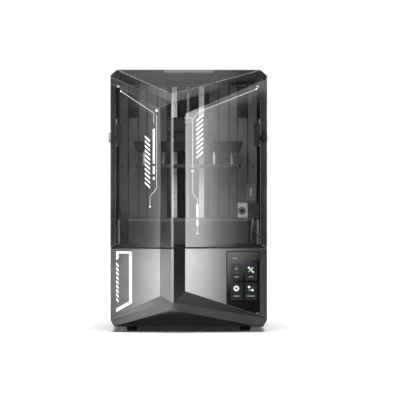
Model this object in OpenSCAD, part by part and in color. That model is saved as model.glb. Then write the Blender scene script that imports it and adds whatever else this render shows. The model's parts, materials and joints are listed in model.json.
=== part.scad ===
// Desktop resin printer: faceted base with a touch screen, tilting vat platform,
// tower with the Z axis, and a tinted one-piece lid that hinges on the tower.
// Millimetres. X to the right, the front looks along -Y, Z up, floor at Z = 0.

/* [Body] */
// Height over everything
total_h = 548; // [546:1:552]
// Distance from the vat's sides to the outside of the body
side_bay = 30.2; // [28:0.2:34]
// Distance from the vat's front to the body's front corners
front_bay = 35.6; // [34:0.2:40]
// Distance from the vat's back to the body's back, for the Z axis and the tower
back_bay = 83.6; // [83:0.2:90]
// How far the front ridge stands ahead of the corners
ridge_out = 28; // [24:0.5:30]
// Clear height under the base
foot_h = 11; // [9:0.5:13]
// Height of the base's top face
base_top = 175; // [172:0.5:178]
// Wall of the housings
wall = 3; // [2.5:0.1:3.2]

/* [Lid] */
// Gap between the base and the lid
lid_gap = 2; // [1.8:0.1:2.5]
// Height of the thick rim round the lid's lower edge
lid_rim_h = 10; // [8:1:14]
// Height of the lid's top over the hinge axis
hinge_drop = 132; // [130:0.5:134]
// Distance of the hinge axis behind the tower's face
hinge_back = 22; // [21:0.5:23]
// Diameter of the lid's hinge pins
hinge_pin_d = 8; // [6:0.5:9]

/* [Tower] */
// Gap between the tower's sides and the outside of the body
tower_gap = 10.2; // [10:0.1:12]
// Height of the lid's top over the tower's top
headroom = 15; // [15:0.5:18]
// Spacing of the two linear rails
rail_gap = 60.4; // [59:0.2:62]
// How far under the rails' upper ends the carriage parks
park_drop = 115; // [105:1:125]

/* [Build plate] */
// Width of the build plate
plate_w = 224; // [216:1:232]
// Depth of the build plate
plate_d = 126; // [120:1:132]
// Thickness of the build plate
plate_t = 6.6; // [5:0.2:8]

/* [Vat] */
// How far the vat's rim stands out past the build plate at each side
vat_side = 21.5; // [19:0.5:24]
// How far it stands out at the front and the back
vat_end = 28; // [26:0.5:30]
// Height of the vat
vat_h = 53.5; // [48:0.5:54]

/* [Hidden] */

$fn = 48;
reach = 900;                        // longer than the printer in every direction
vat_w = plate_w + 2 * vat_side;
vat_d = plate_d + 2 * vat_end;
half_w = vat_w / 2 + side_bay;
corner_d = front_bay + vat_d + back_bay;
corner_y = -(corner_d + ridge_out) / 2 + ridge_out;
front_y = corner_y - ridge_out;
back_y = corner_y + corner_d;
lid_low = base_top + lid_gap;
deck_low = base_top - wall;
slit = 0.3;                         // between faces of pieces that move past each other
fit = 0.05;                         // radial clearance of a running fit
press = 0.01;                       // radial clearance of a pressed or threaded fit

// Stations across the front, from left to right
band_x = -59;
ridge_left = -36.5;
ridge_right = -31.2;
groove_x = -8;
band_out = 20;                      // how far the left panel's inner edge stands out
groove_out = 12;                    // and the right panel's inner edge
shoulder_out = 2.4;                 // and the left corner above and below the panel

// Vat, its platform, the well in the deck round it and the tilt hinge
vat_front = corner_y + front_bay;
vat_back = vat_front + vat_d;
plate_y = vat_front + vat_d / 2;    // centre of the build plate and the vat
latch_x = vat_w / 2 + 16.5;
latch_y = plate_y;
platform_w = 2 * (latch_x + 5);
platform_front = vat_front - 2;
platform_back = vat_back + 3;
platform_low = base_top - 2;
platform_top = platform_low + 8;
vat_low = platform_top + 2.5;
vat_top = vat_low + vat_h;
vat_inner_w = plate_w + 17;
vat_inner_d = plate_d + 22;
well_gap = 4;                       // round the platform, front and back
tilt_y = vat_back;
tilt_z = base_top - 15;
tilt_pin_d = 8;
tilt_rod_x = -34;
tilt_rod_y = vat_front + 3;

// Z axis
tower_face = vat_back + 17;
tower_joint = tower_face + 34;      // where the front and back covers meet
tower_half = half_w - tower_gap;
tower_top = total_h - headroom;
column_y = tower_face + 14;
column_w = rail_gap + 27.6;
rail_low = base_top + 5;
rail_high = tower_top - wall - 1;
screw_y = column_y - 8;
screw_d = 8;
carriage_z = rail_high - park_drop;
z_motor_low = base_top - 75;
z_motor_h = 48;

// Lid hinge
hinge_y = tower_face + hinge_back;
hinge_z = total_h - hinge_drop;
hinge_inner = half_w - wall - 0.5;  // as far out as the lid's walls let anything reach
wall_back = tower_face + 40;        // where the lid's side walls end
roof_back = back_y - 6.6;           // and its roof

// Optics in the base
optics_y = plate_y;
box_low = base_top - 105;
box_high = base_top - 25;

// ---------- helpers ----------

function unit(v) = v / norm(v);

// A point on the front, by its distance ahead of the corners
function ahead(x, z, out) = [x, corner_y - out, z];

// All the space past the plane through a, b and c, on the side that out points to
module beyond(a, b, c, out, inset = 0) {
    n0 = unit(cross(b - a, c - a));
    n = n0 * out > 0 ? n0 : -n0;
    u = unit(b - a);
    v = cross(n, u);
    multmatrix([[u.x, v.x, n.x, a.x], [u.y, v.y, n.y, a.y], [u.z, v.z, n.z, a.z], [0, 0, 0, 1]])
        translate([-reach, -reach, -inset]) cube([2 * reach, 2 * reach, reach]);
}

// A box by its low corner and its high corner
module block(low, high) {
    translate(low) cube(high - low);
}

// A copy on the left of what stands on the right
module both_sides() {
    children();
    mirror([1, 0, 0]) children();
}

// A round bar from p along X, Y or Z
module bar_x(p, d, len) {
    translate(p) rotate([0, 90, 0]) cylinder(d = d, h = len);
}
module bar_y(p, d, len) {
    translate(p) rotate([-90, 0, 0]) cylinder(d = d, h = len);
}
module bar_z(p, d, len) {
    translate(p) cylinder(d = d, h = len);
}

// A block with round vertical edges
module soft_block(low, high, r) {
    size = high - low;
    translate(low) linear_extrude(size.z) union() {
        translate([r, 0]) square([size.x - 2 * r, size.y]);
        translate([0, r]) square([size.x, size.y - 2 * r]);
        for (x = [r, size.x - r], y = [r, size.y - r]) translate([x, y]) circle(r);
    }
}

// Points of a smooth route through the given points
function between(p, i, t) =
    let (a = p[max(i - 1, 0)], b = p[i], c = p[i + 1], d = p[min(i + 2, len(p) - 1)])
    0.5 * ((2 * b) + (c - a) * t + (2 * a - 5 * b + 4 * c - d) * t * t + (3 * b - a - 3 * c + d) * t * t * t);
function route(p, steps) = [for (i = [0:len(p) - 2], s = [0:steps - 1]) between(p, i, s / steps),
    p[len(p) - 1]];

// A lead of one thickness swept along points; side is a direction that it never runs along
module lead(points, d, side) {
    sides = 8;
    last = len(points) - 1;
    rings = [for (i = [0:last])
        let (t = unit(points[min(i + 1, last)] - points[max(i - 1, 0)]), u = unit(cross(t, side)),
            v = cross(t, u))
        for (k = [0:sides - 1]) points[i] + d / 2 * (cos(360 * k / sides) * u + sin(360 * k / sides) * v)];
    polyhedron(points = rings, faces = concat(
        [[for (k = [0:sides - 1]) k]],
        [for (i = [0:last - 1], k = [0:sides - 1])
            let (a = i * sides + k, b = i * sides + (k + 1) % sides) [a, a + sides, b + sides, b]],
        [[for (k = [sides - 1:-1:0]) last * sides + k]]));
}

// A fan's rotor, standing on z = 0 round the Z axis
module rotor(d, h, blades) {
    hub = d * 0.42;
    cylinder(d = hub, h = h);
    for (i = [0:blades - 1]) rotate(360 * i / blades)
        translate([hub / 2 - 1.5, 0, h / 2]) rotate([35, 0, 0])
            translate([0, -h * 0.6, -0.8]) cube([(d - hub) / 2, h * 1.2, 1.6]);
}

// A square fan's frame, standing on z = 0 round the Z axis, with a post for the rotor
module fan_frame(w, h, bore, post_d) {
    difference() {
        translate([-w / 2, -w / 2, 0]) cube([w, w, h]);
        translate([0, 0, 2]) cylinder(d = bore, h = h);
        difference() {
            translate([0, 0, -1]) cylinder(d = bore, h = 4);
            translate([0, 0, -2]) cylinder(d = bore * 0.42, h = 6);
            for (a = [0, 90]) rotate(a + 20) translate([-bore, -2, -2]) cube([2 * bore, 4, 6]);
        }
        for (x = [-1, 1], y = [-1, 1])
            translate([x * (w / 2 - 4), y * (w / 2 - 4), -1]) cylinder(d = 4, h = h + 2);
    }
    translate([0, 0, 2]) cylinder(d = post_d, h = h - 8);
}

// ---------- the outer form that the base and the lid share ----------

brow_x = half_w - 18.7;             // where the upper creases reach the sides' facets
module left_recess(inset) {
    intersection() {
        beyond(ahead(band_x, 0, band_out), ahead(-half_w, 0, 0), ahead(band_x, 99, band_out), [0, -1, 0],
            inset);
        beyond(ahead(band_x, 0, band_out), ahead(ridge_left, 0, ridge_out), ahead(band_x, 99, band_out),
            [0, -1, 0], inset);
        beyond(ahead(ridge_left, total_h - 70, ridge_out), ahead(band_x + 1.5, total_h - 80.3, 20.3),
            ahead(-brow_x, total_h - 22.6, 6.2), [0, -1, -0.2], inset);
        beyond(ahead(band_x, 76.7, band_out), ahead(ridge_left, 63.8, ridge_out), ahead(-half_w, 26.7, 0),
            [0, 0, 1], inset);
    }
}

module right_recess(inset) {
    intersection() {
        beyond(ahead(ridge_right, 0, ridge_out), ahead(groove_x, 0, groove_out),
            ahead(groove_x, 99, groove_out),
            [0, -1, 0], inset);
        beyond(ahead(half_w, 0, 0), ahead(groove_x, 0, groove_out), ahead(groove_x, 99, groove_out),
            [0, -1, 0], inset);
        beyond(ahead(ridge_right, total_h - 70, ridge_out), ahead(groove_x, total_h - 92.2, groove_out),
            ahead(brow_x, total_h - 22, 2.7), [0, 0, -1], inset);
        beyond(ahead(groove_x, 86.3, groove_out), ahead(ridge_right, 63.8, ridge_out), ahead(half_w, 29, 0),
            [0, 0, 1], inset);
    }
}

// The full-height form between two levels, drawn in by inset
module outer_form(low, high, inset) {
    difference() {
        block([-half_w + inset, front_y + inset, low], [half_w - inset, back_y - inset, high]);
        beyond(ahead(ridge_left, 0, ridge_out), ahead(-half_w, 0, shoulder_out),
            ahead(ridge_left, 99, ridge_out),
            [0, -1, 0], inset);
        beyond(ahead(ridge_right, 0, ridge_out), ahead(half_w, 0, 0), ahead(ridge_right, 99, ridge_out),
            [0, -1, 0], inset);
        left_recess(inset);
        right_recess(inset);
    }
}

// The base, with its two rows of facets under the front
module base_form(low, high, inset) {
    brow = 63.3;                    // height of the upper crease at the ridge
    chin = 47.9;                    // height of the lower crease there
    bevel_h = 13.7;                 // of the sloping lower edges
    difference() {
        outer_form(low, high, inset);
        beyond(ahead(ridge_left, brow, ridge_out), ahead(-half_w, 25.7, 0), ahead(ridge_left, chin, 20),
            [0, -1, -1], inset);
        beyond(ahead(ridge_right, brow, ridge_out), ahead(half_w, 25.7, 0), ahead(ridge_right, chin, 20),
            [0, -1, -1], inset);
        intersection() {
            beyond(ahead(ridge_left, chin, 20), ahead(15.9 - half_w, foot_h + 2.2, -6),
                ahead(ridge_left, foot_h, -25), [0, -1, -1], inset);
            beyond(ahead(ridge_right, chin, 20), ahead(half_w - 35.7, foot_h + 2.2, -6),
                ahead(ridge_right, foot_h, -25), [0, -1, -1], inset);
        }
        for (s = [-1, 1])
            beyond([s * half_w, 0, foot_h + bevel_h], [s * (half_w - 7.7), 0, foot_h],
                [s * half_w, 9, foot_h + bevel_h], [s, 0, -1], inset);
    }
}

// The lid, with its sloping brow and its bevelled upper edges
module lid_form(low, high, inset) {
    difference() {
        outer_form(low, high, inset);
        beyond(ahead(-34, total_h - 52, ridge_out), ahead(18 - half_w, total_h - 3, 6.2),
            ahead(half_w - 21, total_h - 3, 3),
            [0, -1, 1], inset);
        for (s = [-1, 1])
            beyond([s * half_w, 0, total_h - 12], [s * (half_w - 14), 0, total_h],
                [s * half_w, 9, total_h - 12],
                [s, 0, 1], inset);
    }
}

// ---------- base ----------

module base_housing() {
    color("#8c8d90") difference() {
        base_form(foot_h, base_top, 0);
        base_form(foot_h - 1, deck_low, wall);
        block([-platform_w / 2 - 2.5, platform_front - well_gap, deck_low - 1],
            [platform_w / 2 + 2.5, platform_back + well_gap, base_top + 1]);
        bar_z([0, screw_y, deck_low - 1], 20, wall + 2);
        screen_pocket();
        block([half_w - 5, usb_y - 6.6, usb_z - 2.9], [half_w + 1, usb_y + 6.6, usb_z + 2.9]);
        bar_y([inlet_x, back_y - 5, inlet_z], 11, 6);
        block([switch_x - 10.5, back_y - 5, inlet_z - 7], [switch_x + 10.5, back_y + 1, inlet_z + 7]);
        bar_z([cable_x, cable_y, deck_low - 1], 7.4, wall + 2);
        for (x = [-60:12:60], z = [60, 100]) block([x, back_y - 5, z], [x + 5, back_y + 1, z + 28]);
        for (s = [-1, 1], y = [20:12:104]) block([s * half_w - 5, y, 60], [s * half_w + 5, y + 5, 110]);
    }
}

module bottom_plate() {
    color("#2b2c2e") difference() {
        base_form(foot_h, foot_h + 2, wall);
        for (x = [-34:8:34]) block([x - 2, optics_y - 34, foot_h - 1], [x + 2, optics_y + 34, foot_h + 3]);
        for (p = feet) bar_z([p.x, p.y, foot_h - 1], 4.4, 5);
    }
}

feet = [for (x = [43.7 - half_w, half_w - 43.7], y = [corner_y + 44.6, back_y - 32.6]) [x, y]];
module rubber_feet() {
    color("#1b1b1c") for (p = feet) translate(p) rotate_extrude()
        polygon([[2.2, 3], [7, 3], [7, 0], [10.5, 0], [12, foot_h], [2.2, foot_h]]);
}

screw_x = tower_half - 7.5;
front_screws = [for (x = [-screw_x, screw_x], z = [base_top + 25, base_top + 175, tower_top - 28]) [x, z]];
back_screws = [for (x = [-screw_x, screw_x], z = [base_top + 25, base_top + 175, tower_top - 18]) [x, z]];
screw_head_d = 5;
screw_head_h = 1.6;
module case_screws() {
    color("#9a9c9f") {
        for (p = feet) {
            bar_z([p.x, p.y, 1], 6.6, 2);
            bar_z([p.x, p.y, 3], 4, foot_h + 3);
        }
        for (p = front_screws) bar_y([p.x, tower_face - screw_head_h, p.y], screw_head_d, screw_head_h);
        for (p = back_screws) bar_y([p.x, back_y - screw_head_h, p.y], screw_head_d, screw_head_h);
    }
}

// The right panel's own frame: x along the panel from its inner edge, -y outwards
panel_turn = atan(groove_out / (half_w - groove_x));
module on_right_panel() {
    translate([groove_x, corner_y - groove_out, 0]) rotate([0, 0, panel_turn]) children();
}
screen_right = norm([half_w - groove_x, groove_out]) - 14.9;
screen_left = screen_right - 70.4;
screen_high = base_top - 6.1;
screen_outline = [[screen_left, screen_high], [screen_left, 58.6], [screen_right - 7, 38],
    [screen_right - 3, 37.6], [screen_right, 41], [screen_right, screen_high]];

module screen_pocket() {
    on_right_panel() {
        translate([0, 1.6, 0]) rotate([90, 0, 0]) linear_extrude(4) polygon(screen_outline);
        block([screen_left + 6, -1, 74], [screen_right - 6, 6, screen_high - 6]);
    }
}

module screen_glass() {
    color("#050506") on_right_panel()
        translate([0, 1.6, 0]) rotate([90, 0, 0]) linear_extrude(2) polygon(screen_outline);
}

module screen_module() {
    color("#3a3d40") on_right_panel() {
        block([screen_left + 7, 1.6, 75], [screen_right - 7, 7, screen_high - 7]);
        block([screen_left + 12, 7, 84], [screen_right - 12, 8.6, screen_high - 14]);
    }
}

// The left panel's own frame: x along the panel from its inner edge, -y outwards
left_turn = -atan(band_out / (half_w + band_x));
module on_left_panel() {
    translate([band_x, corner_y - band_out, 0]) rotate([0, 0, left_turn]) children();
}

// A frame of one sheet, wider on its inner side
module name_plate() {
    left = 12.6 - norm([half_w + band_x, band_out]);
    right = left + 33.6;
    high = base_top - 6.5;
    color("#f2f2f2") on_left_panel() rotate([90, 0, 0]) linear_extrude(0.6) difference() {
        polygon([[left, high], [right, high], [right, 61], [left, 42]]);
        polygon([[left + 3.5, high - 5], [right - 4.6, high - 5], [right - 4.6, 65.5], [left + 3.5, 51]]);
    }
}

usb_y = corner_y + 52.6;
usb_z = base_top - 71;
module usb_port() {
    color("#b9babd") translate([half_w, usb_y, usb_z]) difference() {
        block([-17, -6.6, -2.9], [-0.4, 6.6, 2.9]);
        block([-15, -6.2, -2.5], [1, 6.2, 2.5]);
    }
}

inlet_x = 45.7 - half_w;
switch_x = inlet_x + 32;
inlet_z = foot_h + 35;
module dc_inlet() {
    color("#19191a") {
        difference() {
            union() {
                bar_y([inlet_x, back_y - 14, inlet_z], 11 - 2 * press, 14);
                block([inlet_x - 8, back_y - wall - 11, inlet_z - 8],
                    [inlet_x + 8, back_y - wall, inlet_z + 8]);
            }
            bar_y([inlet_x, back_y - 10, inlet_z], 6.4, 11);
        }
        bar_y([inlet_x, back_y - 11, inlet_z], 2, 9);
    }
}

module switch_frame() {
    color("#19191a") difference() {
        block([switch_x - 10.5, back_y - 17, inlet_z - 7], [switch_x + 10.5, back_y, inlet_z + 7]);
        block([switch_x - 9, back_y - 14, inlet_z - 5.4], [switch_x + 9, back_y + 1, inlet_z + 5.4]);
        bar_z([switch_x, back_y - 4, inlet_z - 8], 2, 16);
    }
}

module power_rocker() {
    color("#c4302b") {
        translate([switch_x, back_y - 4, inlet_z - 5]) linear_extrude(10)
            polygon([[-7.6, -1.6], [-4, -7], [4, -7], [7.6, -1.6], [7.6, 1.1], [0, 2.2], [-7.6, 3.7]]);
        bar_z([switch_x, back_y - 4, inlet_z - 6.9], 1.9, 13.8);
    }
}

// ---------- electronics ----------

board_low = [half_w - 125.7, back_y - 98.6, foot_h + 10];
board_high = board_low + [108, 84, 1.6];
board_holes = [for (x = [board_low.x + 5, board_high.x - 5], y = [board_low.y + 5, board_high.y - 5]) [x, y]];
module mainboard() {
    color("#14532d") difference() {
        block(board_low, board_high);
        for (p = board_holes) bar_z([p.x, p.y, board_low.z - 1], 3.2, 4);
    }
}

module board_parts() {
    color("#202124") translate([board_low.x, board_low.y, board_high.z]) {
        block([32, 24, 0], [54, 46, 1.6]);
        block([66, 30, 0], [80, 42, 1.2]);
        for (x = [18:16:82]) block([x, 72, 0], [x + 11, 81, 9]);
        for (y = [18:14:60]) block([90, y, 0], [96, y + 6, 3]);
        for (x = [24, 42, 60]) bar_z([x, 10, 0], 8, 12);
        for (y = [30:6:60]) block([10, y, 0], [24, y + 2, 10]);
    }
}

module board_standoffs() {
    color("#b5893c") for (p = board_holes) {
        bar_z([p.x, p.y, foot_h + 2], 6, board_low.z - foot_h - 2);
        bar_z([p.x, p.y, board_low.z], 3, 1.6);
        bar_z([p.x, p.y, board_high.z], 5.6, 2);
    }
}

motor_lead_points = concat(
    [for (p = [[8, -8, 0], [8, -8, -16], [20, -4, -36]]) [0, screw_y, z_motor_low] + p],
    [for (p = [[6, 46, 31], [22, 64, 23], [23, 76, 15], [23, 76, 11]]) board_low + p]);
module motor_lead() {
    color("#1e1e20") lead(route(motor_lead_points, 4), 4, [1, -1, 0]);
}

// ---------- light engine ----------

module light_board() {
    color("#e8e8e2") difference() {
        block([-50, optics_y - 34, box_low - 4], [50, optics_y + 34, box_low - 2]);
        for (x = [-46, 46], y = [-30, 30]) bar_z([x, optics_y + y, box_low - 5], 3.2, 4);
    }
    color("#e6d24a") for (x = [-36:12:36], y = [-24:12:24])
        block([x - 1.7, optics_y + y - 1.7, box_low - 2], [x + 1.7, optics_y + y + 1.7, box_low - 0.8]);
}

fan_w = 80;
fan_low = foot_h + 4;
sink_low = box_low - 29;
module heat_sink() {
    front = optics_y - fan_w / 2;
    back = optics_y + fan_w / 2;
    color("#a9abae") {
        block([-54, front, box_low - 9], [54, back, box_low - 4]);
        for (x = [-52:8:52]) block([x - 1, front, sink_low], [x + 1, back, box_low - 9]);
    }
}

module light_fan_frame() {
    corner = fan_w / 2 - 2.5;
    color("#1c1c1e") {
        translate([0, optics_y, fan_low]) fan_frame(fan_w, 20, fan_w - 4, 5);
        for (x = [-corner, corner], y = [-corner, corner])
            bar_z([x, optics_y + y, foot_h + 2], 4, fan_low - foot_h - 2);
        for (x = [-28, 28], y = [-1, 1])
            translate([x, optics_y + y * (fan_w / 2 - 1), 0]) block([-3, -1, fan_low + 20], [3, 1, sink_low]);
    }
}

module light_fan_rotor() {
    color("#26272a") translate([0, optics_y, fan_low + 5]) difference() {
        rotor(fan_w - 10, 12, 7);
        translate([0, 0, -1]) cylinder(d = 5 + 2 * fit, h = 10.5);
    }
}

box_x = plate_w / 2;                // half widths of the reflector box
box_y = plate_d / 2 + 1;
module reflector_box() {
    color("#2f3033") difference() {
        block([-box_x, optics_y - box_y, box_low - 2], [box_x, optics_y + box_y, box_high]);
        block([3 - box_x, optics_y - box_y + 3, box_low + 1],
            [box_x - 3, optics_y + box_y - 3, box_high + 1]);
        block([-48, optics_y - 32, box_low - 3], [48, optics_y + 32, box_low + 2]);
    }
    color("#2f3033") for (x = [-1, 1], y = [-1, 1])
        bar_z([x * (box_x - 12), optics_y + y * (box_y - 12), foot_h + 2], 8, box_low - foot_h - 4);
    // Ledges for the lens
    color("#2f3033") for (y = [-1, 1]) translate([0, optics_y + y * (box_y - 5), 0])
        block([4 - box_x, -3, box_high - 14], [box_x - 4, 3, box_high - 8]);
}

module collimator_lens() {
    color("#dfe8f2", 0.6) difference() {
        block([3 - box_x, optics_y - box_y + 3, box_high - 8],
            [box_x - 3, optics_y + box_y - 3, box_high - 4]);
        for (r = [20:14:48]) translate([0, optics_y, box_high - 4.8]) difference() {
            cylinder(r = r + 1, h = 2);
            translate([0, 0, -1]) cylinder(r = r, h = 4);
        }
    }
}

// ---------- tilting vat platform ----------

motor_w = 42;
tilt_motor_low = base_top - 105;
module tilt_motor() {
    color("#303236") difference() {
        soft_block([tilt_rod_x - motor_w / 2, tilt_rod_y - motor_w / 2, tilt_motor_low],
            [tilt_rod_x + motor_w / 2, tilt_rod_y + motor_w / 2 + 2, tilt_motor_low + 34], 4);
        bar_z([tilt_rod_x, tilt_rod_y, tilt_motor_low - 1], 8 + 2 * fit, 40);
    }
}

module tilt_motor_stand() {
    color("#8b8d90") {
        difference() {
            block([tilt_rod_x - 24, tilt_rod_y - 16, tilt_motor_low - 3],
                [tilt_rod_x + 24, tilt_rod_y + 21, tilt_motor_low]);
            bar_z([tilt_rod_x, tilt_rod_y, tilt_motor_low - 4], 12, 6);
        }
        for (s = [-1, 1])
            block([tilt_rod_x + s * 22.5 - 1.5, tilt_rod_y - 4, foot_h + 2],
                [tilt_rod_x + s * 22.5 + 1.5, tilt_rod_y + 21, tilt_motor_low - 3]);
    }
}

module tilt_rod() {
    color("#c9cbce") {
        bar_z([tilt_rod_x, tilt_rod_y, tilt_motor_low - 12], 8, platform_low - slit - tilt_motor_low + 12);
        translate([tilt_rod_x, tilt_rod_y, platform_low - slit - 8]) {
            cylinder(d = 14, h = 6);
            translate([0, 0, 6]) cylinder(d1 = 14, d2 = 4, h = 2);
        }
    }
}

lug_x = platform_w / 2;
module tilt_hinge_blocks() {
    color("#7d7f83") both_sides() difference() {
        union() {
            block([lug_x - 30, tilt_y - 9, tilt_z - 10], [lug_x - 19, tilt_y + 9, tilt_z + 10]);
            block([lug_x - 30, tilt_y + 8, tilt_z - 10], [lug_x - 19, tilt_y + 23, deck_low]);
        }
        bar_x([lug_x - 31, tilt_y, tilt_z], tilt_pin_d + 2 * press, 13);
    }
}

module tilt_hinge_pins() {
    color("#c9cbce") both_sides() bar_x([lug_x - 30, tilt_y, tilt_z], tilt_pin_d, 24.5);
}

window_x = plate_w / 2 - 1;         // half widths of the window under the display
window_y = plate_d / 2 + 1;
module tilt_platform() {
    color("#6f7175") difference() {
        union() {
            soft_block([-platform_w / 2, platform_front, platform_low],
                [platform_w / 2, platform_back, platform_top], 5);
            both_sides() block([lug_x - 17, tilt_y - 8, tilt_z - 8],
                [lug_x - 6, platform_back, platform_low]);
        }
        block([-window_x, plate_y - window_y, platform_low - 1],
            [window_x, plate_y + window_y, platform_top + 1]);
        both_sides() bar_x([lug_x - 18, tilt_y, tilt_z], tilt_pin_d + 2 * fit, 14);
    }
}

module mask_display() {
    color("#0d0f12") block([-window_x - 10, plate_y - window_y - 6, platform_top],
        [window_x + 10, plate_y + window_y + 6, platform_top + 1.6]);
}

module vat_film_frame() {
    color("#a3a5a8") difference() {
        block([2.5 - vat_w / 2, vat_front + 2, platform_top],
            [vat_w / 2 - 2.5, vat_back - 2, platform_top + 2.2]);
        block([-vat_inner_w / 2 - 3, plate_y - vat_inner_d / 2 - 5, platform_top - 1],
            [vat_inner_w / 2 + 3, plate_y + vat_inner_d / 2 + 5, platform_top + 4]);
    }
}

module vat_film() {
    color("#d8dde0", 0.5)
        block([3.5 - vat_w / 2, vat_front + 3, platform_top + 2.2], [vat_w / 2 - 3.5, vat_back - 3, vat_low]);
}

module vat_tank() {
    rim = 6;
    color("#56585c") difference() {
        union() {
            soft_block([2.5 - vat_w / 2, vat_front + 2, vat_low],
                [vat_w / 2 - 2.5, vat_back - 2, vat_top], 8);
            soft_block([-vat_w / 2, vat_front, vat_top - rim], [vat_w / 2, vat_back, vat_top], 9);
        }
        soft_block([-vat_inner_w / 2, plate_y - vat_inner_d / 2, vat_low - 1],
            [vat_inner_w / 2, plate_y + vat_inner_d / 2, vat_top + 1], 12);
        both_sides() block([vat_inner_w / 2 + 4, plate_y - plate_d / 2 + 3, vat_low + 8],
            [vat_w / 2, plate_y + plate_d / 2 - 3, vat_top - rim - 3]);
    }
}

module latch_posts() {
    color("#2a2b2d") both_sides() {
        soft_block([latch_x - 4, latch_y - 9, platform_top], [latch_x + 4, latch_y + 9, vat_top - 3], 2);
        bar_z([latch_x, latch_y, vat_top - 4], 5, 14);
    }
}

// A latch finger that swings about its post, shown over the rim
module latch() {
    color("#1d1d1f") difference() {
        union() {
            bar_z([latch_x, latch_y, vat_top + slit], 8.4, 15);
            block([latch_x - 20, latch_y - 4, vat_top + slit], [latch_x, latch_y + 4, vat_top + 6]);
            block([latch_x - 20, latch_y - 4, vat_top + slit], [latch_x - 14, latch_y + 4, vat_top + 15]);
        }
        bar_z([latch_x, latch_y, vat_top - 1], 5 + 2 * fit, 11.4);
    }
}

// ---------- tower ----------

opening_w = column_w + 6;
module tower_front_cover() {
    grooves = [tower_half - 85, tower_half - 62, tower_half - 43.5, tower_half - 20.5];
    vents_low = base_top + 23;
    color("#3c3d40") difference() {
        block([-tower_half, tower_face, base_top], [tower_half, tower_joint, tower_top]);
        block([-tower_half + wall, tower_face + wall, base_top - 1],
            [tower_half - wall, tower_joint + 1, tower_top - wall]);
        block([-opening_w / 2, tower_face - 1, base_top + 4],
            [opening_w / 2, tower_face + 5, tower_top - wall]);
        block([-12, tower_face - 1, base_top - 1], [12, tower_face + 5, base_top + 5]);
        for (s = [-1, 1], x = grooves)
            block([s * x - 1.2, tower_face - 1, base_top + 11], [s * x + 1.2, tower_face + 2, tower_top + 1]);
        both_sides() block([grooves[2], tower_face - 1, tower_top - 74],
            [grooves[3], tower_face + 2, tower_top - 4]);
        both_sides() block([grooves[3] - 1.5, tower_face - 1, hinge_z - 80],
            [grooves[3] + 1.5, tower_face + 5, hinge_z - 35]);
        for (x = [53.5:8:93.5]) block([x - tower_half, tower_face - 1, vents_low],
            [x + 3 - tower_half, tower_face + 5, vents_low + 24]);
    }
    color("#232426") block([10.5 - tower_half, tower_face - 2.5, hinge_z - 111],
        [19.5 - tower_half, tower_face, hinge_z - 98]);
}

// Its side flanges close the gaps behind the lid's walls
module tower_back_cover() {
    slope = 4;                      // of the upper back edge, clear of the lid's roof as it swings
    flange_y = wall_back + 0.6;
    color("#303134") difference() {
        union() {
            block([-tower_half, tower_joint, base_top], [tower_half, back_y, tower_top]);
            block([-hinge_inner, flange_y, base_top], [hinge_inner, flange_y + wall, tower_top - wall]);
        }
        block([-tower_half + wall, tower_joint - 1, base_top - 1],
            [tower_half - wall, back_y - wall, tower_top - wall]);
        beyond([0, back_y - slope, tower_top], [9, back_y - slope, tower_top], [0, back_y, tower_top - slope],
            [0, 1, 1]);
        intersection() {
            bar_y([exhaust_x, back_y - 5, exhaust_z], 56, 6);
            for (x = [exhaust_x - 28:7:exhaust_x + 28])
                block([x - 2.6, back_y - 6, exhaust_z - 30], [x + 2.6, back_y + 1, exhaust_z + 30]);
        }
        for (z = [tower_top - 203:10:tower_top - 53]) block([-40, back_y - 5, z], [40, back_y + 1, z + 4]);
        for (p = back_screws)
            bar_y([p.x, back_y - screw_head_h, p.y], screw_head_d + 2 * press, screw_head_h + 1);
    }
}

module column_profile() {
    color("#5d5f63") difference() {
        block([-column_w / 2, column_y, base_top], [column_w / 2, column_y + 34, rail_high]);
        block([-column_w / 2 + 6, column_y + 6, base_top - 1],
            [column_w / 2 - 6, column_y + 35, rail_high + 1]);
        for (z = [rail_low + 30:50:rail_high - 15]) bar_y([0, column_y - 1, z], 8, 8);
    }
}

module linear_rails() {
    color("#c3c5c8") both_sides() difference() {
        block([rail_gap / 2 - 6, column_y - 8, rail_low], [rail_gap / 2 + 6, column_y, rail_high]);
        for (z = [rail_low + 12:25:rail_high - 6]) bar_y([rail_gap / 2, column_y - 9, z], 6, 4);
        for (s = [-1, 1]) block([rail_gap / 2 + s * 6 - 1, column_y - 5, rail_low - 1],
            [rail_gap / 2 + s * 6 + 1, column_y - 3, rail_high + 1]);
    }
}

module z_motor() {
    color("#303236") {
        translate([0, screw_y, z_motor_low])
            soft_block([-motor_w / 2, -motor_w / 2, 0], [motor_w / 2, motor_w / 2, z_motor_h], 4);
    }
}

module z_motor_bracket() {
    plate_low = z_motor_low + z_motor_h;
    color("#8b8d90") {
        difference() {
            block([-30, screw_y - 15, plate_low], [30, screw_y + 30, plate_low + 3]);
            bar_z([0, screw_y, plate_low - 1], 22, 5);
        }
        both_sides() block([24, screw_y - 15, plate_low + 3], [30, screw_y + 30, deck_low]);
    }
}

module shaft_coupler() {
    low = z_motor_low + z_motor_h + 1;
    color("#b7b9bc") difference() {
        bar_z([0, screw_y, low], 16, 20);
        bar_z([0, screw_y, low + 9], screw_d + 2 * press, 12);
        for (z = [low + 4, low + 15]) bar_x([4.5, screw_y, z], 3, 9);
    }
}

module lead_screw() {
    low = z_motor_low + z_motor_h + 10;
    color("#b0a58c") difference() {
        bar_z([0, screw_y, low], screw_d, rail_high - low);
        for (z = [rail_low + 20:4:rail_high - 29]) translate([0, screw_y, z]) difference() {
            cylinder(d = screw_d + 2, h = 1.2);
            translate([0, 0, -1]) cylinder(d = screw_d - 0.8, h = 4);
        }
    }
}

module screw_bearings() {
    color("#45474b") for (z = [rail_low + 3, rail_high - 13]) difference() {
        block([-14, screw_y - 8, z], [14, column_y, z + 10]);
        bar_z([0, screw_y, z - 1], screw_d + 2 * fit, 12);
    }
}

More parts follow.
